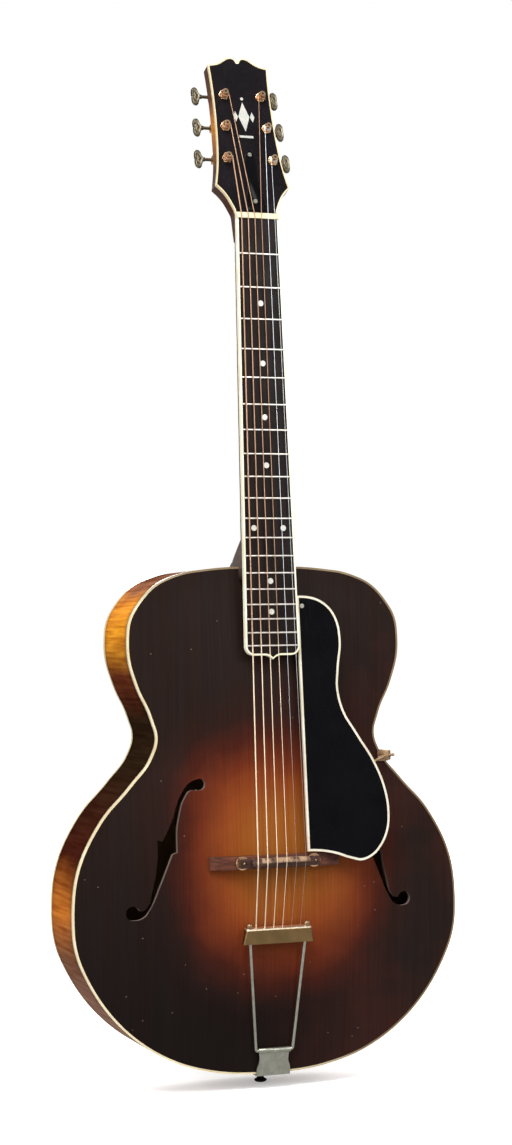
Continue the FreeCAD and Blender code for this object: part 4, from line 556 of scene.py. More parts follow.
class Finish:
    """A material being made: a Principled shader and the nodes that feed it."""

    def __init__(self, name, **sockets):
        self.material = bpy.data.materials.new(name)
        self.material.use_nodes = True
        self.tree = self.material.node_tree
        self.shader = self.tree.nodes["Principled BSDF"]
        for socket, value in sockets.items():
            self.shader.inputs[socket.replace("_", " ")].default_value = value
        self.texture = self.tree.nodes.new("ShaderNodeTexCoord")
        self.place = self.texture.outputs["Object"]

    def put(self, node, inputs):
        """Set or link a node's inputs, each given by its place or name."""
        for key, value in inputs.items():
            if hasattr(value, "is_output"):
                self.tree.links.new(value, node.inputs[key])
            elif value is not None:
                node.inputs[key].default_value = value

    def math(self, operation, first, second=None):
        """One operation on one or two values."""
        node = self.tree.nodes.new("ShaderNodeMath")
        node.operation = operation
        self.put(node, {0: first, 1: second})
        return node.outputs[0]

    def parts(self, vector=None):
        """The three coordinates of a place."""
        node = self.tree.nodes.new("ShaderNodeSeparateXYZ")
        self.put(node, {0: self.place if vector is None else vector})
        return node.outputs

    def facing(self):
        """The three parts of the surface's direction."""
        return self.parts(self.texture.outputs["Normal"])

    def stretched(self, scale, turn=(0, 0, 0)):
        """Coordinates multiplied by a scale for each axis, then turned."""
        node = self.tree.nodes.new("ShaderNodeMapping")
        self.put(node, {"Vector": self.place, "Scale": scale, "Rotation": turn})
        return node.outputs[0]

    def noise(self, vector, scale, detail, roughness=0.5, distortion=0.0):
        """Soft noise from 0 to 1."""
        node = self.tree.nodes.new("ShaderNodeTexNoise")
        self.put(node, {"Vector": vector, "Scale": scale, "Detail": detail, "Roughness": roughness,
                        "Distortion": distortion})
        return node.outputs[0]

    def cells(self, vector, scale):
        """Distance from scattered points."""
        node = self.tree.nodes.new("ShaderNodeTexVoronoi")
        self.put(node, {"Vector": vector, "Scale": scale})
        return node.outputs["Distance"]

    def span(self, value, low, high, start=0.0, end=1.0):
        """A value's place between two limits, as a value between two others."""
        node = self.tree.nodes.new("ShaderNodeMapRange")
        self.put(node, {0: value, 1: low, 2: high, 3: start, 4: end})
        return node.outputs[0]

    def ramp(self, value, stops):
        """Colours along a value, given as pairs of place and screen colour."""
        node = self.tree.nodes.new("ShaderNodeValToRGB")
        points = node.color_ramp.elements
        while len(points) < len(stops):
            points.new(0.5)
        for point, (place, colour) in zip(points, stops):
            point.position = place
            point.color = screen(*colour)
        self.put(node, {0: value})
        return node.outputs[0]

    def mixed(self, share, first, second, blend="MIX"):
        """Two colours mixed by a share."""
        node = self.tree.nodes.new("ShaderNodeMix")
        node.data_type = "RGBA"
        node.blend_type = blend
        self.put(node, {0: share, 6: first, 7: second})
        return node.outputs[2]

    def bump(self, height, strength, distance, normal=None):
        """A bump from a height."""
        node = self.tree.nodes.new("ShaderNodeBump")
        self.put(node, {"Height": height, "Strength": strength, "Distance": distance, "Normal": normal})
        return node.outputs[0]

    def set(self, **links):
        """Link outputs to the shader's sockets."""
        self.put(self.shader, {name.replace("_", " "): value for name, value in links.items()})
        return self.material


def screen(red, green, blue):
    """Linear colour of a screen colour with channels from 0 to 255."""
    channels = np.array([red, green, blue]) / 255
    linear = np.where(channels <= 0.04045, channels / 12.92, ((channels + 0.055) / 1.055) ** 2.4)
    return (*linear.tolist(), 1.0)


def lacquer_wear(finish, base_roughness):
    """Roughness of old lacquer: even, with hazy patches and fine specks."""
    haze = finish.noise(finish.place, 14, 5, 0.6)
    fine = finish.noise(finish.place, 900, 2, 0.5)
    patchy = finish.span(haze, 0.3, 0.7, base_roughness - 0.06, base_roughness + 0.1)
    return finish.math("ADD", patchy, finish.math("MULTIPLY", fine, 0.06))


def burst_share(finish, centre_x, centre_z, half_width, rise, fall):
    """Distance from the burst's middle: 0 at the middle and 1 where the dark edge starts.

    It is the 2.5th root of the sum of the 2.5th powers of the shares across and up, plus a soft cloud.
    """
    x, _, z = finish.parts()
    across = finish.math("DIVIDE", finish.math("SUBTRACT", x, centre_x), half_width)
    height = finish.math("SUBTRACT", z, centre_z)
    above = finish.math("DIVIDE", finish.math("MAXIMUM", height, 0.0), rise)
    below = finish.math("DIVIDE", finish.math("MINIMUM", height, 0.0), fall)
    upright = finish.math("ADD", above, below)
    powers = finish.math("ADD", finish.math("POWER", finish.math("ABSOLUTE", across), 2.5),
                         finish.math("POWER", finish.math("ABSOLUTE", upright), 2.5))
    cloud = finish.noise(finish.place, 16, 4, 0.6)
    return finish.math("ADD", finish.math("POWER", powers, 0.4), finish.span(cloud, 0, 1, -0.13, 0.13))


def spruce_sunburst():
    """Spruce top: amber middle to dark brown, fine upright grain, specks and dents, bare wood inside."""
    finish = Finish("spruce_sunburst", Specular_IOR_Level=0.06)
    far = burst_share(finish, *TOP_BURST)
    burst = finish.ramp(finish.math("MULTIPLY", far, 0.8), [
        (0.0, (158, 97, 38)), (0.22, (151, 88, 35)), (0.42, (133, 66, 30)), (0.56, (102, 45, 25)),
        (0.68, (68, 30, 21)), (0.80, (44, 27, 23)), (1.0, (37, 28, 25)),
    ])
    x, _, z = finish.parts()
    low_edge = finish.span(z, *DARK_TAIL_HEIGHTS, 0.75, 0.0)
    low_edge = finish.math("MULTIPLY", finish.span(far, 0.8, 1.1), low_edge)
    low_edge = finish.math("MULTIPLY", low_edge, finish.span(x, *DARK_TAIL_ACROSS, 1.0, 0.3))
    burst = finish.mixed(low_edge, burst, screen(20, 15, 14))
    red_cloud = finish.span(finish.noise(finish.place, 9, 3, 0.6), 0.42, 0.66, 0.0, 0.35)
    redder = finish.math("MULTIPLY", red_cloud, finish.span(x, *RED_CLOUD_ACROSS))
    redder = finish.math("MULTIPLY", redder, finish.span(far, 0.7, 0.9))
    burst = finish.mixed(redder, burst, screen(78, 36, 30))
    grain = finish.noise(finish.stretched((1.0, 0.1, 0.012)), 620, 2, 0.6)
    broad = finish.noise(finish.stretched((1.0, 0.1, 0.03)), 70, 3, 0.6)
    colour = finish.mixed(finish.span(grain, 0.35, 0.7, 0.0, 0.24), burst, screen(96, 44, 16), "MULTIPLY")
    colour = finish.mixed(finish.span(broad, 0.4, 0.7, 0.0, 0.2), colour, screen(210, 150, 90), "SOFT_LIGHT")
    specks = finish.cells(finish.place, 78)
    speck_mask = finish.math("LESS_THAN", specks, 0.05)
    patches = finish.math("GREATER_THAN", finish.noise(finish.place, 22, 2), 0.5)
    speck_mask = finish.math("MULTIPLY", speck_mask, patches)
    colour = finish.mixed(finish.math("MULTIPLY", speck_mask, 0.45), colour, screen(146, 128, 112))
    facing = finish.facing()[1]
    edge = finish.math("LESS_THAN", finish.math("ABSOLUTE", facing), 0.4)
    inside = finish.math("GREATER_THAN", facing, 0.4)
    colour = finish.mixed(edge, colour, screen(112, 98, 90))
    colour = finish.mixed(inside, colour, screen(150, 118, 78))
    dents = finish.noise(finish.place, 160, 3, 0.6)
    lines = finish.bump(grain, 0.10, FINE_RELIEF)
    worn = finish.bump(finish.span(dents, 0.2, 0.36), 0.12, SOFT_RELIEF, lines)
    return finish.set(Base_Color=colour, Roughness=lacquer_wear(finish, 0.3), Normal=worn)


def flame(finish, vector, scale, warp=0.6):
    """Curl of flamed maple: soft irregular bands."""
    bands = finish.noise(vector, scale, 3, 0.55, warp)
    return finish.span(bands, 0.32, 0.68)


def maple_rim():
    """Flamed maple rim: pale at the tail, which is a painted sheen of reflected light, amber in the bouts,
    dark at the waist, the neck and both edges.
    """
    finish = Finish("maple_rim", Specular_IOR_Level=0.0)
    _, y, z = finish.parts()
    height = finish.math("DIVIDE", z, BODY_LENGTH)
    cloud = finish.span(finish.noise(finish.place, 20, 4), 0, 1, -0.03, 0.03)
    along = finish.math("ADD", height, cloud)
    dark_brown, deep_red, black_brown = (132, 92, 68), (70, 30, 21), (42, 32, 20)
    # The pale stops towards the tail are a painted sheen of reflected light over the maple
    base = finish.ramp(along, [
        (0.0, (236, 208, 190)), (0.12, (166, 134, 116)), (0.24, dark_brown), (0.33, (208, 124, 48)),
        (0.44, deep_red), (0.60, black_brown), (0.70, black_brown), (0.79, (112, 56, 34)),
        (0.88, (250, 172, 48)), (0.935, (238, 156, 60)), (0.965, (170, 116, 84)), (1.0, (80, 56, 44)),
    ])
    curl = flame(finish, finish.stretched((0.5, 0.05, 1.0)), 240, 0.25)
    colour = finish.mixed(finish.span(curl, 0, 1, 0.62, 0.0), base, screen(142, 62, 34), "MULTIPLY")
    middle = finish.math("ABSOLUTE", finish.math("SUBTRACT", y, (FRONT_Y + BACK_Y) / 2))
    shade = finish.span(middle, *RIM_EDGE_DEPTHS, 0.0, 0.55)
    colour = finish.mixed(shade, colour, screen(110, 60, 40), "MULTIPLY")
    fine = finish.noise(finish.stretched((1.0, 14.0, 1.0)), 110, 2)
    colour = finish.mixed(finish.span(fine, 0.3, 0.7, 0.0, 0.16), colour, screen(60, 26, 12))
    sheen = finish.bump(curl, 0.05, SOFT_RELIEF)
    return finish.set(Base_Color=colour, Roughness=lacquer_wear(finish, 0.4), Normal=sheen)


def maple_back():
    """Two flamed maple halves that meet on the centreline, with a sunburst and bare wood on the inside."""
    finish = Finish("maple_back", Specular_IOR_Level=0.3)
    far = burst_share(finish, *BACK_BURST)
    burst = finish.ramp(finish.math("MULTIPLY", far, 0.8), [
        (0.0, (214, 138, 52)), (0.30, (196, 112, 40)), (0.5, (158, 76, 28)), (0.66, (102, 44, 20)),
        (0.80, (52, 26, 16)), (1.0, (26, 17, 14)),
    ])
    x, _, z = finish.parts()
    half = finish.math("ABSOLUTE", x)
    slope = finish.math("ADD", z, finish.math("MULTIPLY", half, 0.22))
    joined = finish.tree.nodes.new("ShaderNodeCombineXYZ")
    finish.put(joined, {0: finish.math("MULTIPLY", half, 0.13), 1: 0.0, 2: slope})
    curl = flame(finish, joined.outputs[0], 95)
    colour = finish.mixed(finish.span(curl, 0, 1, 0.6, 0.0), burst, screen(112, 44, 16), "MULTIPLY")
    seam = finish.math("LESS_THAN", half, BACK_SEAM_HALF)
    colour = finish.mixed(finish.math("MULTIPLY", seam, 0.6), colour, screen(40, 18, 10))
    facing = finish.facing()[1]
    inside = finish.math("LESS_THAN", facing, -0.3)
    colour = finish.mixed(inside, colour, screen(168, 130, 84))
    sheen = finish.bump(curl, 0.05, SOFT_RELIEF)
    return finish.set(Base_Color=colour, Roughness=lacquer_wear(finish, 0.24), Normal=sheen)


def streaked_wood(name, dark, light, scale, roughness, along=(1.0, 1.0, 0.04), gloss=0.3):
    """Straight-grained wood: two colours in long streaks, with open pores."""
    finish = Finish(name, Specular_IOR_Level=gloss)
    streaks = finish.noise(finish.stretched(along), scale, 4, 0.6)
    pores = finish.noise(finish.stretched(along), scale * 5, 2, 0.6)
    colour = finish.ramp(streaks, [(0.3, dark), (0.7, light)])
    colour = finish.mixed(finish.span(pores, 0.55, 0.75, 0.0, 0.5), colour, screen(*dark))
    rough = finish.span(finish.noise(finish.place, 60, 4), 0.3, 0.7, roughness - 0.07, roughness + 0.1)
    return finish.set(Base_Color=colour, Roughness=rough, Normal=finish.bump(pores, 0.12, FINE_RELIEF))


def saddle_with_tan_crest():
    """Bridge saddle: dark rosewood, tan in patches on the upper half of its crest between the posts."""
    finish = Finish("saddle_wood", Specular_IOR_Level=0.25)
    streaks = finish.noise(finish.stretched((0.05, 1.0, 1.0)), 300, 4, 0.6)
    colour = finish.ramp(streaks, [(0.3, (40, 24, 22)), (0.7, (86, 56, 46))])
    upper = finish.span(finish.math("SUBTRACT", finish.parts()[2], bridge_z), *SADDLE_CREST_RISE)
    crest = finish.math("LESS_THAN", finish.facing()[1], 0.3)
    patches = finish.span(finish.noise(finish.stretched((1.0, 0.3, 0.3)), 130, 3, 0.6), 0.40, 0.52)
    across = finish.math("ABSOLUTE", finish.parts()[0])
    between_posts = finish.span(across, *SADDLE_POSTS_ACROSS, 1.0, 0.0)
    upper = finish.math("MULTIPLY", upper, between_posts)
    # Tan in patches where the crest is high, between the posts, on faces that do not turn to the back
    worn = finish.math("MULTIPLY", finish.math("MULTIPLY", upper, crest), patches)
    colour = finish.mixed(finish.math("MULTIPLY", worn, 0.85), colour, screen(176, 146, 116))
    rough = finish.span(streaks, 0.3, 0.7, 0.36, 0.52)
    return finish.set(Base_Color=colour, Roughness=rough, Normal=finish.bump(streaks, 0.12, FINE_RELIEF))


def neck_wood():
    """Neck: dark brown lacquer with faint flame, lighter along the middle and amber on the head."""
    finish = Finish("neck_wood", Specular_IOR_Level=0.3)
    base = finish.ramp(finish.math("DIVIDE", finish.parts()[2], cad_high[2]), [
        (0.478, (34, 26, 24)), (0.487, (104, 90, 82)), (0.53, (60, 32, 22)), (0.68, (98, 48, 22)),
        (0.88, (72, 42, 34)), (0.925, (214, 134, 46)), (0.955, (100, 58, 40)), (1.0, (72, 46, 38)),
    ])
    curl = flame(finish, finish.stretched((0.15, 0.4, 1.0)), 110)
    colour = finish.mixed(finish.span(curl, 0, 1, 0.45, 0.0), base, screen(96, 44, 22), "MULTIPLY")
    streaks = finish.noise(finish.stretched((1.0, 1.0, 0.03)), 260, 3, 0.6)
    colour = finish.mixed(finish.span(streaks, 0.45, 0.75, 0.0, 0.35), colour, screen(26, 15, 11))
    lines = finish.bump(streaks, 0.05, FINE_RELIEF)
    return finish.set(Base_Color=colour, Roughness=lacquer_wear(finish, 0.28), Normal=lines)


def aged_plastic(name, light, dark, roughness, shaded_with_dark_foot=False):
    """Old celluloid: a warm base with cloudy yellowing and a little grime.

    A shaded one is browner to the treble and the top, which is painted shade, and dark along its foot on the
    rim.
    """
    finish = Finish(name, Coat_Weight=0.2, Coat_Roughness=0.2, Subsurface_Weight=0.05, Subsurface_Scale=0.002)
    cloud = finish.noise(finish.place, 45, 4, 0.6)
    grime = finish.noise(finish.place, 380, 3, 0.7)
    colour = finish.ramp(cloud, [(0.3, dark), (0.65, light)])
    tint = finish.span(grime, 0.58, 0.8, 0.0, 0.35)
    colour = finish.mixed(tint, colour, screen(122, 92, 52))
    if shaded_with_dark_foot:
        x, y, z = finish.parts()
        # Painted shade: browner towards the treble side and towards the top
        treble = finish.span(x, *SHADED_BINDING_ACROSS, 0.0, 0.9)
        top = finish.span(z, *SHADED_BINDING_HEIGHTS, 0.0, 0.85)
        colour = finish.mixed(finish.math("MAXIMUM", treble, top), colour, screen(112, 86, 54))
        foot = finish.span(y, *BINDING_FOOT_DEPTHS, 0.0, 0.85)
        colour = finish.mixed(foot, colour, screen(66, 44, 32))
    rough = finish.span(cloud, 0.3, 0.7, roughness + 0.08, roughness - 0.04)
    return finish.set(Base_Color=colour, Roughness=rough, Normal=finish.bump(grime, 0.05, FINE_RELIEF))


def black_gloss(name, base, tint, roughness, gloss):
    """Black gloss: nearly black with a faint tint, hairline scratches and dust."""
    finish = Finish(name, Specular_IOR_Level=gloss)
    cloud = finish.noise(finish.place, 30, 4, 0.6)
    scratches = finish.noise(finish.stretched((1.0, 1.0, 0.05), turn=(0, 0.5, 0)), 700, 2, 0.5)
    dust = finish.math("LESS_THAN", finish.cells(finish.place, 260), 0.05)
    colour = finish.ramp(cloud, [(0.3, base), (0.7, tint)])
    colour = finish.mixed(finish.math("MULTIPLY", dust, 0.2), colour, screen(120, 116, 108))
    rough = finish.math("ADD", roughness, finish.span(scratches, 0.5, 0.8, 0.0, 0.14))
    return finish.set(Base_Color=colour, Roughness=rough, Normal=finish.bump(scratches, 0.03, FINE_RELIEF))


def pearl(name, share):
    """Mother of pearl: pale bands of grey, pink and green, dimmed to a share."""
    finish = Finish(name, Coat_Weight=0.6, Coat_Roughness=0.05, Sheen_Weight=0.1)
    bands = finish.noise(finish.stretched((1.0, 1.0, 0.6), turn=(0, 0.4, 0)), 240, 3, 0.6, 1.2)
    stops = [
        (0.25, (196, 198, 190)), (0.42, (238, 234, 220)), (0.55, (210, 216, 210)), (0.68, (240, 226, 214)),
        (0.8, (190, 198, 200)),
    ]
    colour = finish.ramp(bands, [(place, np.array(pale) * share) for place, pale in stops])
    return finish.set(Base_Color=colour, Roughness=finish.span(bands, 0.2, 0.8, 0.16, 0.32))


def worn_metal(name, bright, dull, stain, roughness, scale=140.0):
    """Plated metal: bright plating, worn to a duller colour in patches, with brown stain in spots."""
    finish = Finish(name, Metallic=1.0)
    patches = finish.noise(finish.place, scale, 5, 0.6)
    spots = finish.noise(finish.place, scale * 3.1, 4, 0.7)
    colour = finish.ramp(patches, [(0.25, bright), (0.75, dull)])
    colour = finish.mixed(finish.span(spots, 0.58, 0.85, 0.0, 0.4), colour, screen(*stain))
    rough = finish.span(patches, 0.25, 0.75, roughness, roughness + 0.16)
    return finish.set(Base_Color=colour, Roughness=rough, Normal=finish.bump(spots, 0.06, FINE_RELIEF))


def brass_with_painted_highlight():
    """Tailpiece crossbar: dull brass, with a painted highlight along the fold of its top edge, where the
    surface turns upward.
    """
    finish = Finish("worn_brass", Metallic=1.0)
    patches = finish.noise(finish.place, 60, 5, 0.6)
    colour = finish.ramp(patches, [(0.25, (148, 120, 80)), (0.75, (122, 98, 65))])
    upward = finish.facing()[2]
    # Painted highlight: the colour turns pale where the surface faces upward
    colour = finish.mixed(finish.span(upward, 0.34, 0.5), colour, screen(255, 244, 222))
    rough = finish.span(patches, 0.25, 0.75, 0.28, 0.42)
    return finish.set(Base_Color=colour, Roughness=rough)


def wound_string():
    """Wound string: ridges across the wire, from the distance along it, and browner over the board."""
    finish = Finish("wound_string", Metallic=0.6)
    reach = finish.tree.nodes.new("ShaderNodeUVMap")
    along = finish.parts(reach.outputs[0])[1]
    wave = finish.math("SINE", finish.math("MULTIPLY", along, math.pi / WRAP_WIDTH))
    ridge = finish.math("ABSOLUTE", wave)
    tarnish = finish.noise(finish.place, 55, 4, 0.6)
    colour = finish.ramp(tarnish, [(0.3, (255, 232, 200)), (0.7, (232, 202, 168))])
    colour = finish.mixed(finish.span(ridge, 0.0, 0.3, 0.4, 0.0), colour, screen(116, 82, 60))
    played = finish.span(finish.parts()[2], *PLAYED_WOUND_HEIGHTS, 0.0, 0.8)
    colour = finish.mixed(played, colour, screen(158, 112, 84))
    return finish.set(Base_Color=colour, Roughness=finish.span(tarnish, 0.3, 0.7, 0.26, 0.42),
                      Normal=finish.bump(ridge, 0.5, FINE_RELIEF))


def plain_wire():
    """Plain string: dull steel, rubbed bright over the fingerboard."""
    finish = Finish("plain_string", Metallic=0.8)
    tarnish = finish.noise(finish.place, 140, 5, 0.6)
    colour = finish.ramp(tarnish, [(0.25, (200, 174, 156)), (0.75, (160, 134, 116))])
    rubbed = finish.span(finish.parts()[2], *RUBBED_PLAIN_HEIGHTS, 0.0, 0.9)
    colour = finish.mixed(rubbed, colour, screen(238, 244, 250))
    return finish.set(Base_Color=colour, Roughness=finish.span(tarnish, 0.25, 0.75, 0.24, 0.4))


def fret_wire():
    """Fret: bright nickel with painted shade on the sides of its crown that turn away from the front, so only
    the middle of the crown stays bright.
    """
    finish = Finish("fret_nickel", Metallic=0.9)
    tarnish = finish.noise(finish.place, 260, 4, 0.6)
    colour = finish.ramp(tarnish, [(0.25, (246, 238, 230)), (0.75, (214, 206, 196))])
    facing = finish.facing()[1]
    # Painted shade on the faces that turn away from the front
    sides = finish.span(facing, -0.96, -0.78, 0.0, 0.85)
    colour = finish.mixed(sides, colour, screen(64, 58, 54))
    return finish.set(Base_Color=colour, Roughness=finish.span(tarnish, 0.25, 0.75, 0.28, 0.42))


gold = worn_metal("worn_gold", (252, 218, 176), (228, 180, 132), (140, 96, 64), 0.18)
dark_gold = worn_metal("dark_gold", (176, 146, 112), (132, 102, 74), (84, 62, 44), 0.34)
nickel = worn_metal("aged_nickel", (196, 196, 182), (160, 159, 146), (112, 102, 82), 0.3)
steel = worn_metal("plain_steel", (224, 224, 222), (186, 186, 184), (132, 126, 118), 0.22)
plain_string = plain_wire()
fret_metal = fret_wire()
crossbar_metal = brass_with_painted_highlight()
button_metal = worn_metal("button_metal", (124, 116, 98), (86, 78, 64), (56, 46, 34), 0.36, 220.0)
# Dark metal for the discs of painted shade on the posts' tips
well_shade = worn_metal("well_shade", (66, 52, 42), (40, 32, 27), (24, 19, 16), 0.5)
cream = aged_plastic("cream_binding", (228, 213, 175), (206, 186, 142), 0.3)
board_cream = aged_plastic("board_binding", (248, 244, 222), (232, 224, 190), 0.3)
white = aged_plastic("white_binding", (232, 226, 208), (210, 200, 174), 0.28)
bone = aged_plastic("bone", (236, 224, 190), (206, 186, 146), 0.34)
ebony = streaked_wood("ebony", (18, 14, 13), (38, 29, 26), 240, 0.36, gloss=0.08)
bridge_rosewood = streaked_wood("bridge_wood", (52, 24, 17), (112, 62, 44), 300, 0.42, (0.05, 1.0, 1.0))
bare_wood = streaked_wood("bare_wood", (150, 112, 68), (196, 156, 104), 160, 0.6)
black_lacquer = black_gloss("black_lacquer", (17, 15, 17), (27, 23, 27), 0.22, 0.12)
black_plastic = black_gloss("black_plastic", (8, 8, 10), (13, 13, 16), 0.12, 0.12)
shell = pearl("pearl", 0.93)
neck_finish = neck_wood()
wound = wound_string()
finishes = {
    "spruce_sunburst": spruce_sunburst(), "inner_wood": bare_wood, "neck_wood": neck_finish, "ebony": ebony,
    "bridge_wood": bridge_rosewood, "cream_binding": cream, "white_binding": white, "bone": bone,
    "pearl": shell, "black_lacquer": black_lacquer, "black_plastic": black_plastic, "fret_nickel": fret_metal,
    "worn_gold": gold, "aged_nickel": nickel, "steel": steel, "bronze_string": wound,
    "steel_string": plain_string,
}
rim_finish = maple_rim()
node_finishes = {
    "rim_bass": rim_finish, "rim_treble": rim_finish, "back_plate": maple_back(),
    "bridge_saddle": saddle_with_tan_crest(), "tailpiece_crossbar": crossbar_metal,
    "headstock_inlay": pearl("inlay_pearl", 0.86),
    "pickguard_screw": nickel, "tailpiece_nuts": dark_gold, "pickguard_clamp": dark_gold,
    "clamp_thumb_nut": dark_gold, "pickguard_rod": dark_gold, "fingerboard_binding": board_cream,
    # The top binding has painted shade towards the treble and the top
    "top_binding": aged_plastic("top_binding", (236, 222, 186), (214, 195, 152), 0.3, True),
}
node_finishes.update({"tuner_button_%d" % k: button_metal for k in range(1, STRING_COUNT + 1)})
node_slots = {part["node"]: part["material_slot"] for part in frame["record"]["subparts"]}


def finish_of(node):
    """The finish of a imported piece."""
    return node_finishes.get(node) or finishes[node_slots[node]]


def dress(piece, finish, body, slot, *replaced):
    """Give a new piece its finish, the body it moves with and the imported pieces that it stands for."""
    piece.data.materials.clear()
    piece.data.materials.append(finish)
    if body is not None:
        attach(piece, body)
    if replaced:
        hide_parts(*replaced)


for node, piece in nodes.items():
    piece.data.materials.clear()
    piece.data.materials.append(finish_of(node))


# Strings

def string_offset(index, spacing):
    """Place of a string across the neck, the first string on the treble side."""
    return spacing * ((STRING_COUNT - 1) / 2 - index)


def between(start, end, count):
    """Evenly spaced points from one point to another."""
    share = np.linspace(0, 1, count)[:, None]
    return np.asarray(start) * (1 - share) + np.asarray(end) * share


def rounded(before, corner, after, reach):
    """A corner rounded over a reach: the quadratic curve between the two points a reach away from it."""
    start = corner + direction(before - corner) * reach
    end = corner + direction(after - corner) * reach
    t = np.linspace(0, 1, BEND_STEPS)[:, None]
    return start * (1 - t) ** 2 + corner * 2 * t * (1 - t) + end * t ** 2


def post_side(number):
    """Side of the head on which a post stands: 1 for the three treble ones and -1 for the three bass ones."""
    return 1 if number <= TREBLE_POSTS else -1


def post_place(number):
    """Place of a string post's axis in the head's frame."""
    return head_place.local(joints["post_turn_%d" % number]["pos_m"])


def string_paths(index):
    """The three stretches of a string: ball to the middle behind the bridge, to the saddle, and to the post.

    The turns on the post are a helix: the angle grows evenly and the height falls a step each turn. They
    start where the straight run from the nut touches the winding's circle.
    """
    number = index + 1
    side = post_side(number)
    diameter = STRING_DIAMETERS[index]
    nut_local = (string_offset(index, NUT_STRING_SPACING), -STRING_HEIGHT_AT_NUT, NUT_THICKNESS / 2)
    nut = neck_place.point(nut_local)
    saddle = neck_place.point((string_offset(index, BRIDGE_STRING_SPACING), -STRING_HEIGHT_AT_BRIDGE,
                               SADDLE_COMPENSATION[index] - bridge_distance))
    hole = tail_place.point((string_offset(index, TAIL_STRING_SPACING), 0, crossbar_reach - CROSSBAR_SHEET))
    back = direction(saddle - hole)
    ball = hole - back * BALL_SETBACK
    post = post_place(number)
    head_nut = head_place.local(nut)
    radius = POST_RADIUS + POST_GAP + diameter / 2
    toward = np.array([head_nut[0] - post[0], head_nut[2] - post[2]])
    aim = math.atan2(toward[1], toward[0])
    start_angle = aim - side * math.acos(radius / np.linalg.norm(toward))
    turns = np.linspace(0, WINDING_TURNS[index], STEPS_PER_TURN * WINDING_TURNS[index] + 1)
    angle = start_angle + side * 2 * np.pi * turns
    fall = turns * (diameter + WINDING_GAP) - WINDING_START_HEIGHT
    helix = np.stack([post[0] + radius * np.cos(angle), fall, post[2] + radius * np.sin(angle)], -1)
    helix = head_place.point(helix)
    middle = (hole + saddle) / 2
    over_nut = rounded(saddle, nut, helix[0], STRING_BEND)
    behind = between(ball, middle, RUN_STEPS)
    near = np.concatenate([between(middle, saddle - back * STRING_BEND, RUN_STEPS), [saddle]])
    past_saddle = saddle + direction(nut - saddle) * STRING_BEND
    speaking = np.concatenate([[saddle], between(past_saddle, over_nut[0], SPEAKING_STEPS), over_nut[1:],
                               between(over_nut[-1], helix[0], RUN_STEPS)[1:-1], helix])
    return behind, near, speaking, ball, back


def add_length_map(piece, sides):
    """A UV map whose second coordinate is the distance along a tube, in metres, from its rings of points."""
    mesh = piece.data
    place = np.array([v.co for v in mesh.vertices]).reshape(-1, sides, 3)
    rings = place.mean(axis=1)
    along = np.concatenate([[0], np.cumsum(np.linalg.norm(np.diff(rings, axis=0), axis=1))])
    around = np.tile(np.arange(sides) / sides, len(rings))
    corner_point = np.empty(len(mesh.loops), np.int32)
    mesh.loops.foreach_get("vertex_index", corner_point)
    pairs = np.stack([around[corner_point], np.repeat(along, sides)[corner_point]], -1)
    layer = mesh.uv_layers.new(name="length")
    layer.data.foreach_set("uv", pairs.astype(np.float32).ravel())


post_axis = direction(head_place.turn @ np.array([0.0, 1.0, 0.0]))
ball_angles = np.linspace(0, np.pi, BALL_STEPS)
ball_profile = BALL_RADIUS * np.stack([-np.cos(ball_angles), np.sin(ball_angles)], -1) + (0, END_RADIUS)
for index in range(STRING_COUNT):
    node = "string_%d" % (index + 1)
    plain = index < PLAIN_STRINGS
    string_finish = plain_string if plain else wound
    slot_name = "steel_string" if plain else "bronze_string"
    behind, near, speaking, ball, back = string_paths(index)
    radius = STRING_DIAMETERS[index] / 2
    stretches = [(node + "_tail", behind, ("trapeze", "guitar", behind[0], behind[-1])),
                 (node + "_behind_bridge", near, ("guitar", "saddle", near[0], near[-1])),
                 (node + "_speaking", speaking, ("saddle", "guitar", speaking[0], speaking[SPEAKING_STEPS]))]
    for name, path, (first, second, start, end) in stretches:
        piece = crease(tube(name, path, radius, STRING_SIDES, post_axis), STRING_CREASE)
        add_length_map(piece, STRING_SIDES)
        dress(piece, string_finish, None, slot_name, node)
        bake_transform(piece)
    ball_middle = ball - back * BALL_RADIUS * BALL_OVERLAP_SHARE
    ball_end = lathe(node + "_ball", ball_middle, back, ball_profile, BALL_SIDES)
    dress(ball_end, gold, "trapeze", slot_name)


# Tuner buttons with their worms

def button_shape(name, place, inner, side):
    """A cast button: an outline that grows from the middle to the edge and back on the other face.

    The outline's distance from the button's middle is read from the table by angle. A share of it runs from
    none at the middle of the front face to the whole at the edge and back to none behind. The depth is the
    root of one less the share's fourth power, with a raised boss in the middle and a raised border.
    """
    table = np.array(BUTTON_OUTLINE_SHARES) * (BUTTON_LENGTH, BUTTON_HEIGHT / 2)
    table[:, 0] -= BUTTON_LENGTH * BUTTON_CENTRE_SHARE
    table = np.concatenate([table, table[-2:0:-1] * (1, -1)])
    around = np.arctan2(table[:, 1], table[:, 0]) % (2 * np.pi)
    order = np.argsort(around)
    reach = np.hypot(table[:, 0], table[:, 1])
    angle = np.linspace(0, 2 * np.pi, BUTTON_SIDES, endpoint=False)
    far = np.interp(angle, around[order], reach[order], period=2 * np.pi)
    far = (np.roll(far, 1) + 2 * far + np.roll(far, -1)) / 4
    turn = np.linspace(0, np.pi, BUTTON_ROWS)
    share = np.sin(turn)
    relief = 1 + BUTTON_RELIEF_SHARE * (np.cos(2 * np.pi * share * BUTTON_RELIEF_WAVES) - 1)
    depth = np.sign(np.cos(turn)) * np.sqrt(np.clip(1 - share ** 4, 0, 1)) * relief * BUTTON_THICKNESS / 2
    x = inner[0] + side * (BUTTON_LENGTH * BUTTON_CENTRE_SHARE + share[:, None] * (far * np.cos(angle))[None])
    z = inner[2] + share[:, None] * (far * np.sin(angle))[None]
    y = np.broadcast_to(inner[1] + depth[:, None], x.shape)
    points = place.point(np.stack([x, y, z], -1))
    return outward(mesh_object(name, points, grid_faces(len(turn), len(angle), close_columns=True)))


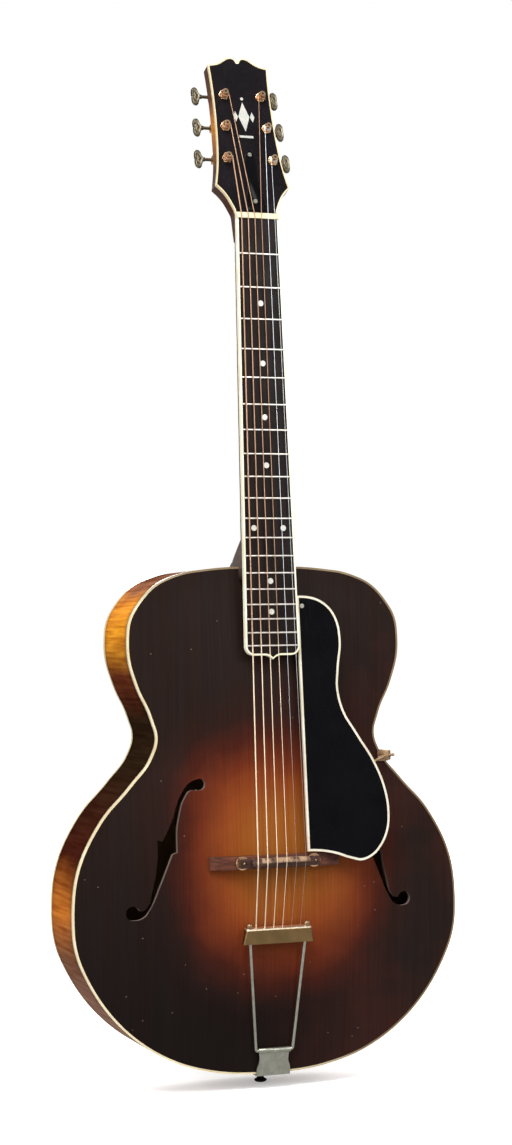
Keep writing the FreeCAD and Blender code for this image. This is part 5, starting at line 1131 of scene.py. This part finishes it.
head_x = np.array([1.0, 0.0, 0.0])
head_down = head_place.turn @ np.array([0.0, 0.0, -1.0])
inner_end = -(WORM_HALF + SHAFT_INNER_REACH)
shaft_reach = WORM_HALF + SHAFT_REACH
collar = WORM_HALF + COLLAR_REACH
shaft_profile = [
    (inner_end, END_RADIUS), (inner_end, SHAFT_RADIUS - SHAFT_EDGE), (inner_end + SHAFT_EDGE, SHAFT_RADIUS),
    (collar - COLLAR_HALF, SHAFT_RADIUS), (collar - COLLAR_HALF / 2, COLLAR_RADIUS),
    (collar + COLLAR_HALF / 2, COLLAR_RADIUS), (collar + COLLAR_HALF, SHAFT_RADIUS),
    (shaft_reach, SHAFT_RADIUS), (shaft_reach + SHAFT_RADIUS / 2, END_RADIUS),
]
for number in range(1, STRING_COUNT + 1):
    side = post_side(number)
    post = post_place(number)
    middle = np.array([post[0], WORM_DEPTH, post[2] + WORM_OFFSET])
    start = -WORM_PITCH * WORM_TURNS / 2
    worm = threaded_rod("worm", head_place.point(middle), head_x, head_down, (-WORM_HALF, WORM_HALF),
                        WORM_CORE, WORM_TIP, WORM_PITCH, (start, -start), WORM_RIDGE, WORM_SIDES, WORM_STEP)
    shaft = lathe("shaft", head_place.point(middle), head_x * side, shaft_profile, SHAFT_SIDES)
    inner = middle + np.array([side * (shaft_reach - SHAFT_RADIUS), 0, 0])
    button = button_shape("button", head_place, inner, side)
    whole = joined_pieces("tuner_button_%d_cast" % number, [worm, shaft, button])
    crease(whole, BUTTON_CREASE)
    node = "tuner_button_%d" % number
    dress(whole, button_metal, node, node_slots[node], node)

# Dark discs of painted shade on the tips of the string posts, standing for their wells
for number in range(1, STRING_COUNT + 1):
    node = "tuner_post_%d" % number
    post = post_place(number)
    tip = head_place.local(np.array([vertex.co for vertex in nodes[node].data.vertices]))[:, 1].min()
    tip_place = head_place.point((post[0], tip, post[2]))
    well = lathe("post_well_shade_%d" % number, tip_place, -post_axis, WELL_SHADE_PROFILE, WELL_SHADE_SIDES)
    dress(well, well_shade, node, node_slots[node])


# Bridge studs and thumbwheels

def knurl(angle, radius):
    """Radius of a knurled rim: less a rounded groove for each knurl, on the outer part only."""
    groove = 0.5 - 0.5 * np.cos(angle * WHEEL_KNURLS)
    return np.where(radius > WHEEL_RADIUS * WHEEL_RIM_SHARE, radius - WHEEL_GROOVE * groove ** 2, radius)


bridge_front = np.array([0.0, -1.0, 0.0])
stud_low, stud_high = np.array(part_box("bridge_studs"))
stud_length = stud_high[1] - stud_low[1]
stud_pieces = []
for name in ("thumbwheel_bass", "thumbwheel_treble"):
    low, high = np.array(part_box(name))
    centre = (low + high) / 2
    half = (high[1] - low[1]) / 2
    section = [
        (-half, WHEEL_BORE), (-half, WHEEL_RADIUS - WHEEL_EDGE), (-half + WHEEL_EDGE, WHEEL_RADIUS),
        (0.0, WHEEL_RADIUS), (half - WHEEL_EDGE, WHEEL_RADIUS), (half, WHEEL_RADIUS - WHEEL_EDGE),
        (half, WHEEL_BORE),
    ]
    sides = WHEEL_KNURLS * WHEEL_STEPS_PER_KNURL
    wheel = lathe(name + "_knurled", centre, bridge_front, section, sides, knurl, True)
    dress(crease(wheel, WHEEL_CREASE), gold, nodes[name]["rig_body"], node_slots[name], name)
    foot = np.array([centre[0], stud_high[1], centre[2]])
    stud_pieces.append(threaded_rod("stud", foot, bridge_front, (1, 0, 0), (0, stud_length),
                                    STUD_RADIUS - STUD_THREAD_DEPTH, STUD_RADIUS, STUD_THREAD_PITCH,
                                    (0, stud_length - STUD_PLAIN_TIP), STUD_RIDGE, STUD_SIDES, STUD_STEP))
dress(joined_pieces("bridge_studs_threaded", stud_pieces), dark_gold, "guitar", node_slots["bridge_studs"],
      "bridge_studs")

# End pin
pin = lathe("end_pin_turned", (0, 0, 0), (0, 0, 1), PIN_PROFILE, PIN_SIDES)
dress(crease(pin, PIN_CREASE), black_plastic, "guitar", node_slots["end_pin"], "end_pin")


# Tailpiece crossbar

def crossbar_shell(inset):
    """Rows of points on the folded sheet's outer side, or on its inner side where the inset is the sheet.

    The outline runs up the left edge, across the top and down the right edge, with its two corners cut back.
    Rows on the face run from the bottom edge to a fold's width inside the outline, rows on the fold turn a
    quarter circle, and rows on the walls run straight back to each wall's depth.
    """
    fold = CROSSBAR_FOLD - inset * CROSSBAR_INNER_FOLD_SHARE
    front = inset - CROSSBAR_FRONT
    top = crossbar_reach - inset
    face_low = crossbar_reach - CROSSBAR_FACE_HEIGHT
    top_half = CROSSBAR_TOP_WIDTH / 2 - inset
    bottom_half = CROSSBAR_BOTTOM_WIDTH / 2 - inset
    rise = np.linspace(0, 1, CROSSBAR_EDGE_STEPS)
    left = np.stack([-bottom_half + (bottom_half - top_half) * rise, face_low + (top - face_low) * rise], -1)
    across = np.linspace((-top_half, top), (top_half, top), CROSSBAR_TOP_STEPS)
    outline = np.concatenate([left, across[1:-1], left[::-1] * (-1, 1)])
    corner = np.array([top_half, top])
    reach = np.linalg.norm(np.abs(outline) - corner, axis=1)
    cut = CROSSBAR_CORNER_CUT * np.clip(1 - reach / CROSSBAR_CORNER_REACH, 0, 1) ** 2
    side = np.sign(outline[:, 0])
    outline = outline - np.stack([side, np.ones(len(side))], -1) * cut[:, None]
    shelf = outline[:, 1] > top - fold
    inner_z = np.minimum(outline[:, 1], top - fold)
    wall_half = top_half + (bottom_half - top_half) * (top - inner_z) / (top - face_low)
    inner = np.stack([side * np.minimum(np.abs(outline[:, 0]), wall_half - fold), inner_z], -1)
    base = np.stack([inner[:, 0], np.full(len(inner), face_low)], -1)
    wall_back = np.where(shelf, CROSSBAR_BACK, CROSSBAR_WALL_BACK)

    def row(flat, depth):
        """Points of a flat row at a depth."""
        return np.stack([flat[:, 0], np.broadcast_to(depth, len(flat)), flat[:, 1]], -1)

    rows = []
    for share in np.linspace(0, 1, CROSSBAR_FACE_ROWS):
        rows.append(row(base * (1 - share) + inner * share, front))
    for turn in np.linspace(0, np.pi / 2, CROSSBAR_FOLD_ROWS)[1:]:
        rows.append(row(inner + (outline - inner) * math.sin(turn), front + fold * (1 - math.cos(turn))))
    for share in np.linspace(0, 1, CROSSBAR_WALL_ROWS)[1:]:
        rows.append(row(outline, (front + fold) * (1 - share) + wall_back * share))
    return rows


def crossbar():
    """A sheet folded back along its top and ends: an outer and an inner shell joined at their borders."""
    rows = np.array(crossbar_shell(0.0) + crossbar_shell(CROSSBAR_SHEET)[::-1])
    count, columns = rows.shape[:2]
    left_end = [row * columns for row in range(count)]
    right_end = [row * columns + columns - 1 for row in reversed(range(count))]
    faces = grid_faces(count, columns, close_rows=True) + [left_end, right_end]
    return crease(outward(mesh_object("crossbar_folded", tail_place.point(rows), faces)), CROSSBAR_CREASE)


dress(crossbar(), crossbar_metal, "trapeze", node_slots["tailpiece_crossbar"], "tailpiece_crossbar")

# Pieces with softened edges
for node, width in SOFT_EDGES.items():
    piece = softened(node, width)
    piece.data.materials.append(finish_of(node))


# Stage: floor, light and camera

def floor():
    """A round pale floor of rings round the Z axis, which turns to plain white away from the guitar."""
    angle = np.linspace(0, 2 * np.pi, FLOOR_SIDES, endpoint=False)
    radii = FLOOR_RADII[:, None]
    height = np.full((len(FLOOR_RADII), FLOOR_SIDES), FLOOR_HEIGHT)
    points = np.stack([radii * np.cos(angle), radii * np.sin(angle), height], -1)
    piece = mesh_object("floor", points, grid_faces(len(FLOOR_RADII), FLOOR_SIDES, close_columns=True))
    finish = Finish("floor", Roughness=0.9, Specular_IOR_Level=0.1)
    x, y, _ = finish.parts()
    far = finish.math("SQRT", finish.math("ADD", finish.math("POWER", x, 2.0), finish.math("POWER", y, 2.0)))
    seen = finish.tree.nodes.new("ShaderNodeLightPath").outputs["Is Camera Ray"]
    glow = finish.math("MULTIPLY", finish.span(far, 0.05, 0.7, 0.35, 1.0), seen)
    pale = finish.span(seen, 0, 1, 0.42, 0.86)
    finish.set(Base_Color=pale, Emission_Strength=glow, Emission_Color=(1, 1, 1, 1))
    piece.data.materials.append(finish.material)
    piece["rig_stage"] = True


def area_light(name, place, target, size, power):
    """A square soft light that faces a point."""
    light = bpy.data.lights.new(name, "AREA")
    light.shape = "SQUARE"
    light.size = size
    light.energy = power
    lamp = bpy.data.objects.new(name, light)
    lamp.location = place
    lamp.rotation_euler = (Vector(target) - Vector(place)).to_track_quat("-Z", "Y").to_euler()
    bpy.context.scene.collection.objects.link(lamp)


def sky():
    """Plain white to the eye, and a dimmer even light for the guitar."""
    world = bpy.data.worlds.new("studio")
    world.use_nodes = True
    tree = world.node_tree
    background = tree.nodes["Background"]
    path = tree.nodes.new("ShaderNodeLightPath")
    choose = tree.nodes.new("ShaderNodeMapRange")
    choose.inputs[3].default_value = SKY_LIGHT
    choose.inputs[4].default_value = 1.0
    tree.links.new(path.outputs["Is Camera Ray"], choose.inputs[0])
    tree.links.new(choose.outputs[0], background.inputs["Strength"])
    background.inputs["Color"].default_value = (1, 1, 1, 1)
    bpy.context.scene.world = world


def camera():
    """A camera where the photograph's was, with its angle of view.

    Its axes are the rows of a turn about Z by the yaw, then about X by the pitch, then about Y by the roll.
    """
    view = bpy.data.cameras.new("camera")
    view.lens = CAMERA_LENS
    view.sensor_width = SENSOR
    view.sensor_height = SENSOR
    view.sensor_fit = "AUTO"
    view.clip_end = CAMERA_FAR
    piece = bpy.data.objects.new("camera", view)
    rows = turn_about(1, CAMERA_ROLL) @ turn_about(0, CAMERA_PITCH) @ turn_about(2, CAMERA_YAW)
    axes = np.stack([rows[0], rows[2], -rows[1]], -1)
    matrix = np.eye(4)
    matrix[:3, :3] = axes
    matrix[:3, 3] = CAMERA_PLACE
    piece.matrix_world = Matrix(matrix.tolist())
    bpy.context.scene.collection.objects.link(piece)
    bpy.context.scene.camera = piece


floor()
sky()
for lamp in LAMPS:
    area_light(*lamp)
camera()
bpy.context.scene.view_settings.view_transform = "Standard"

for piece in nodes.values():
    if not piece.hide_render:
        shade_smoothly(piece)

low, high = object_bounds()
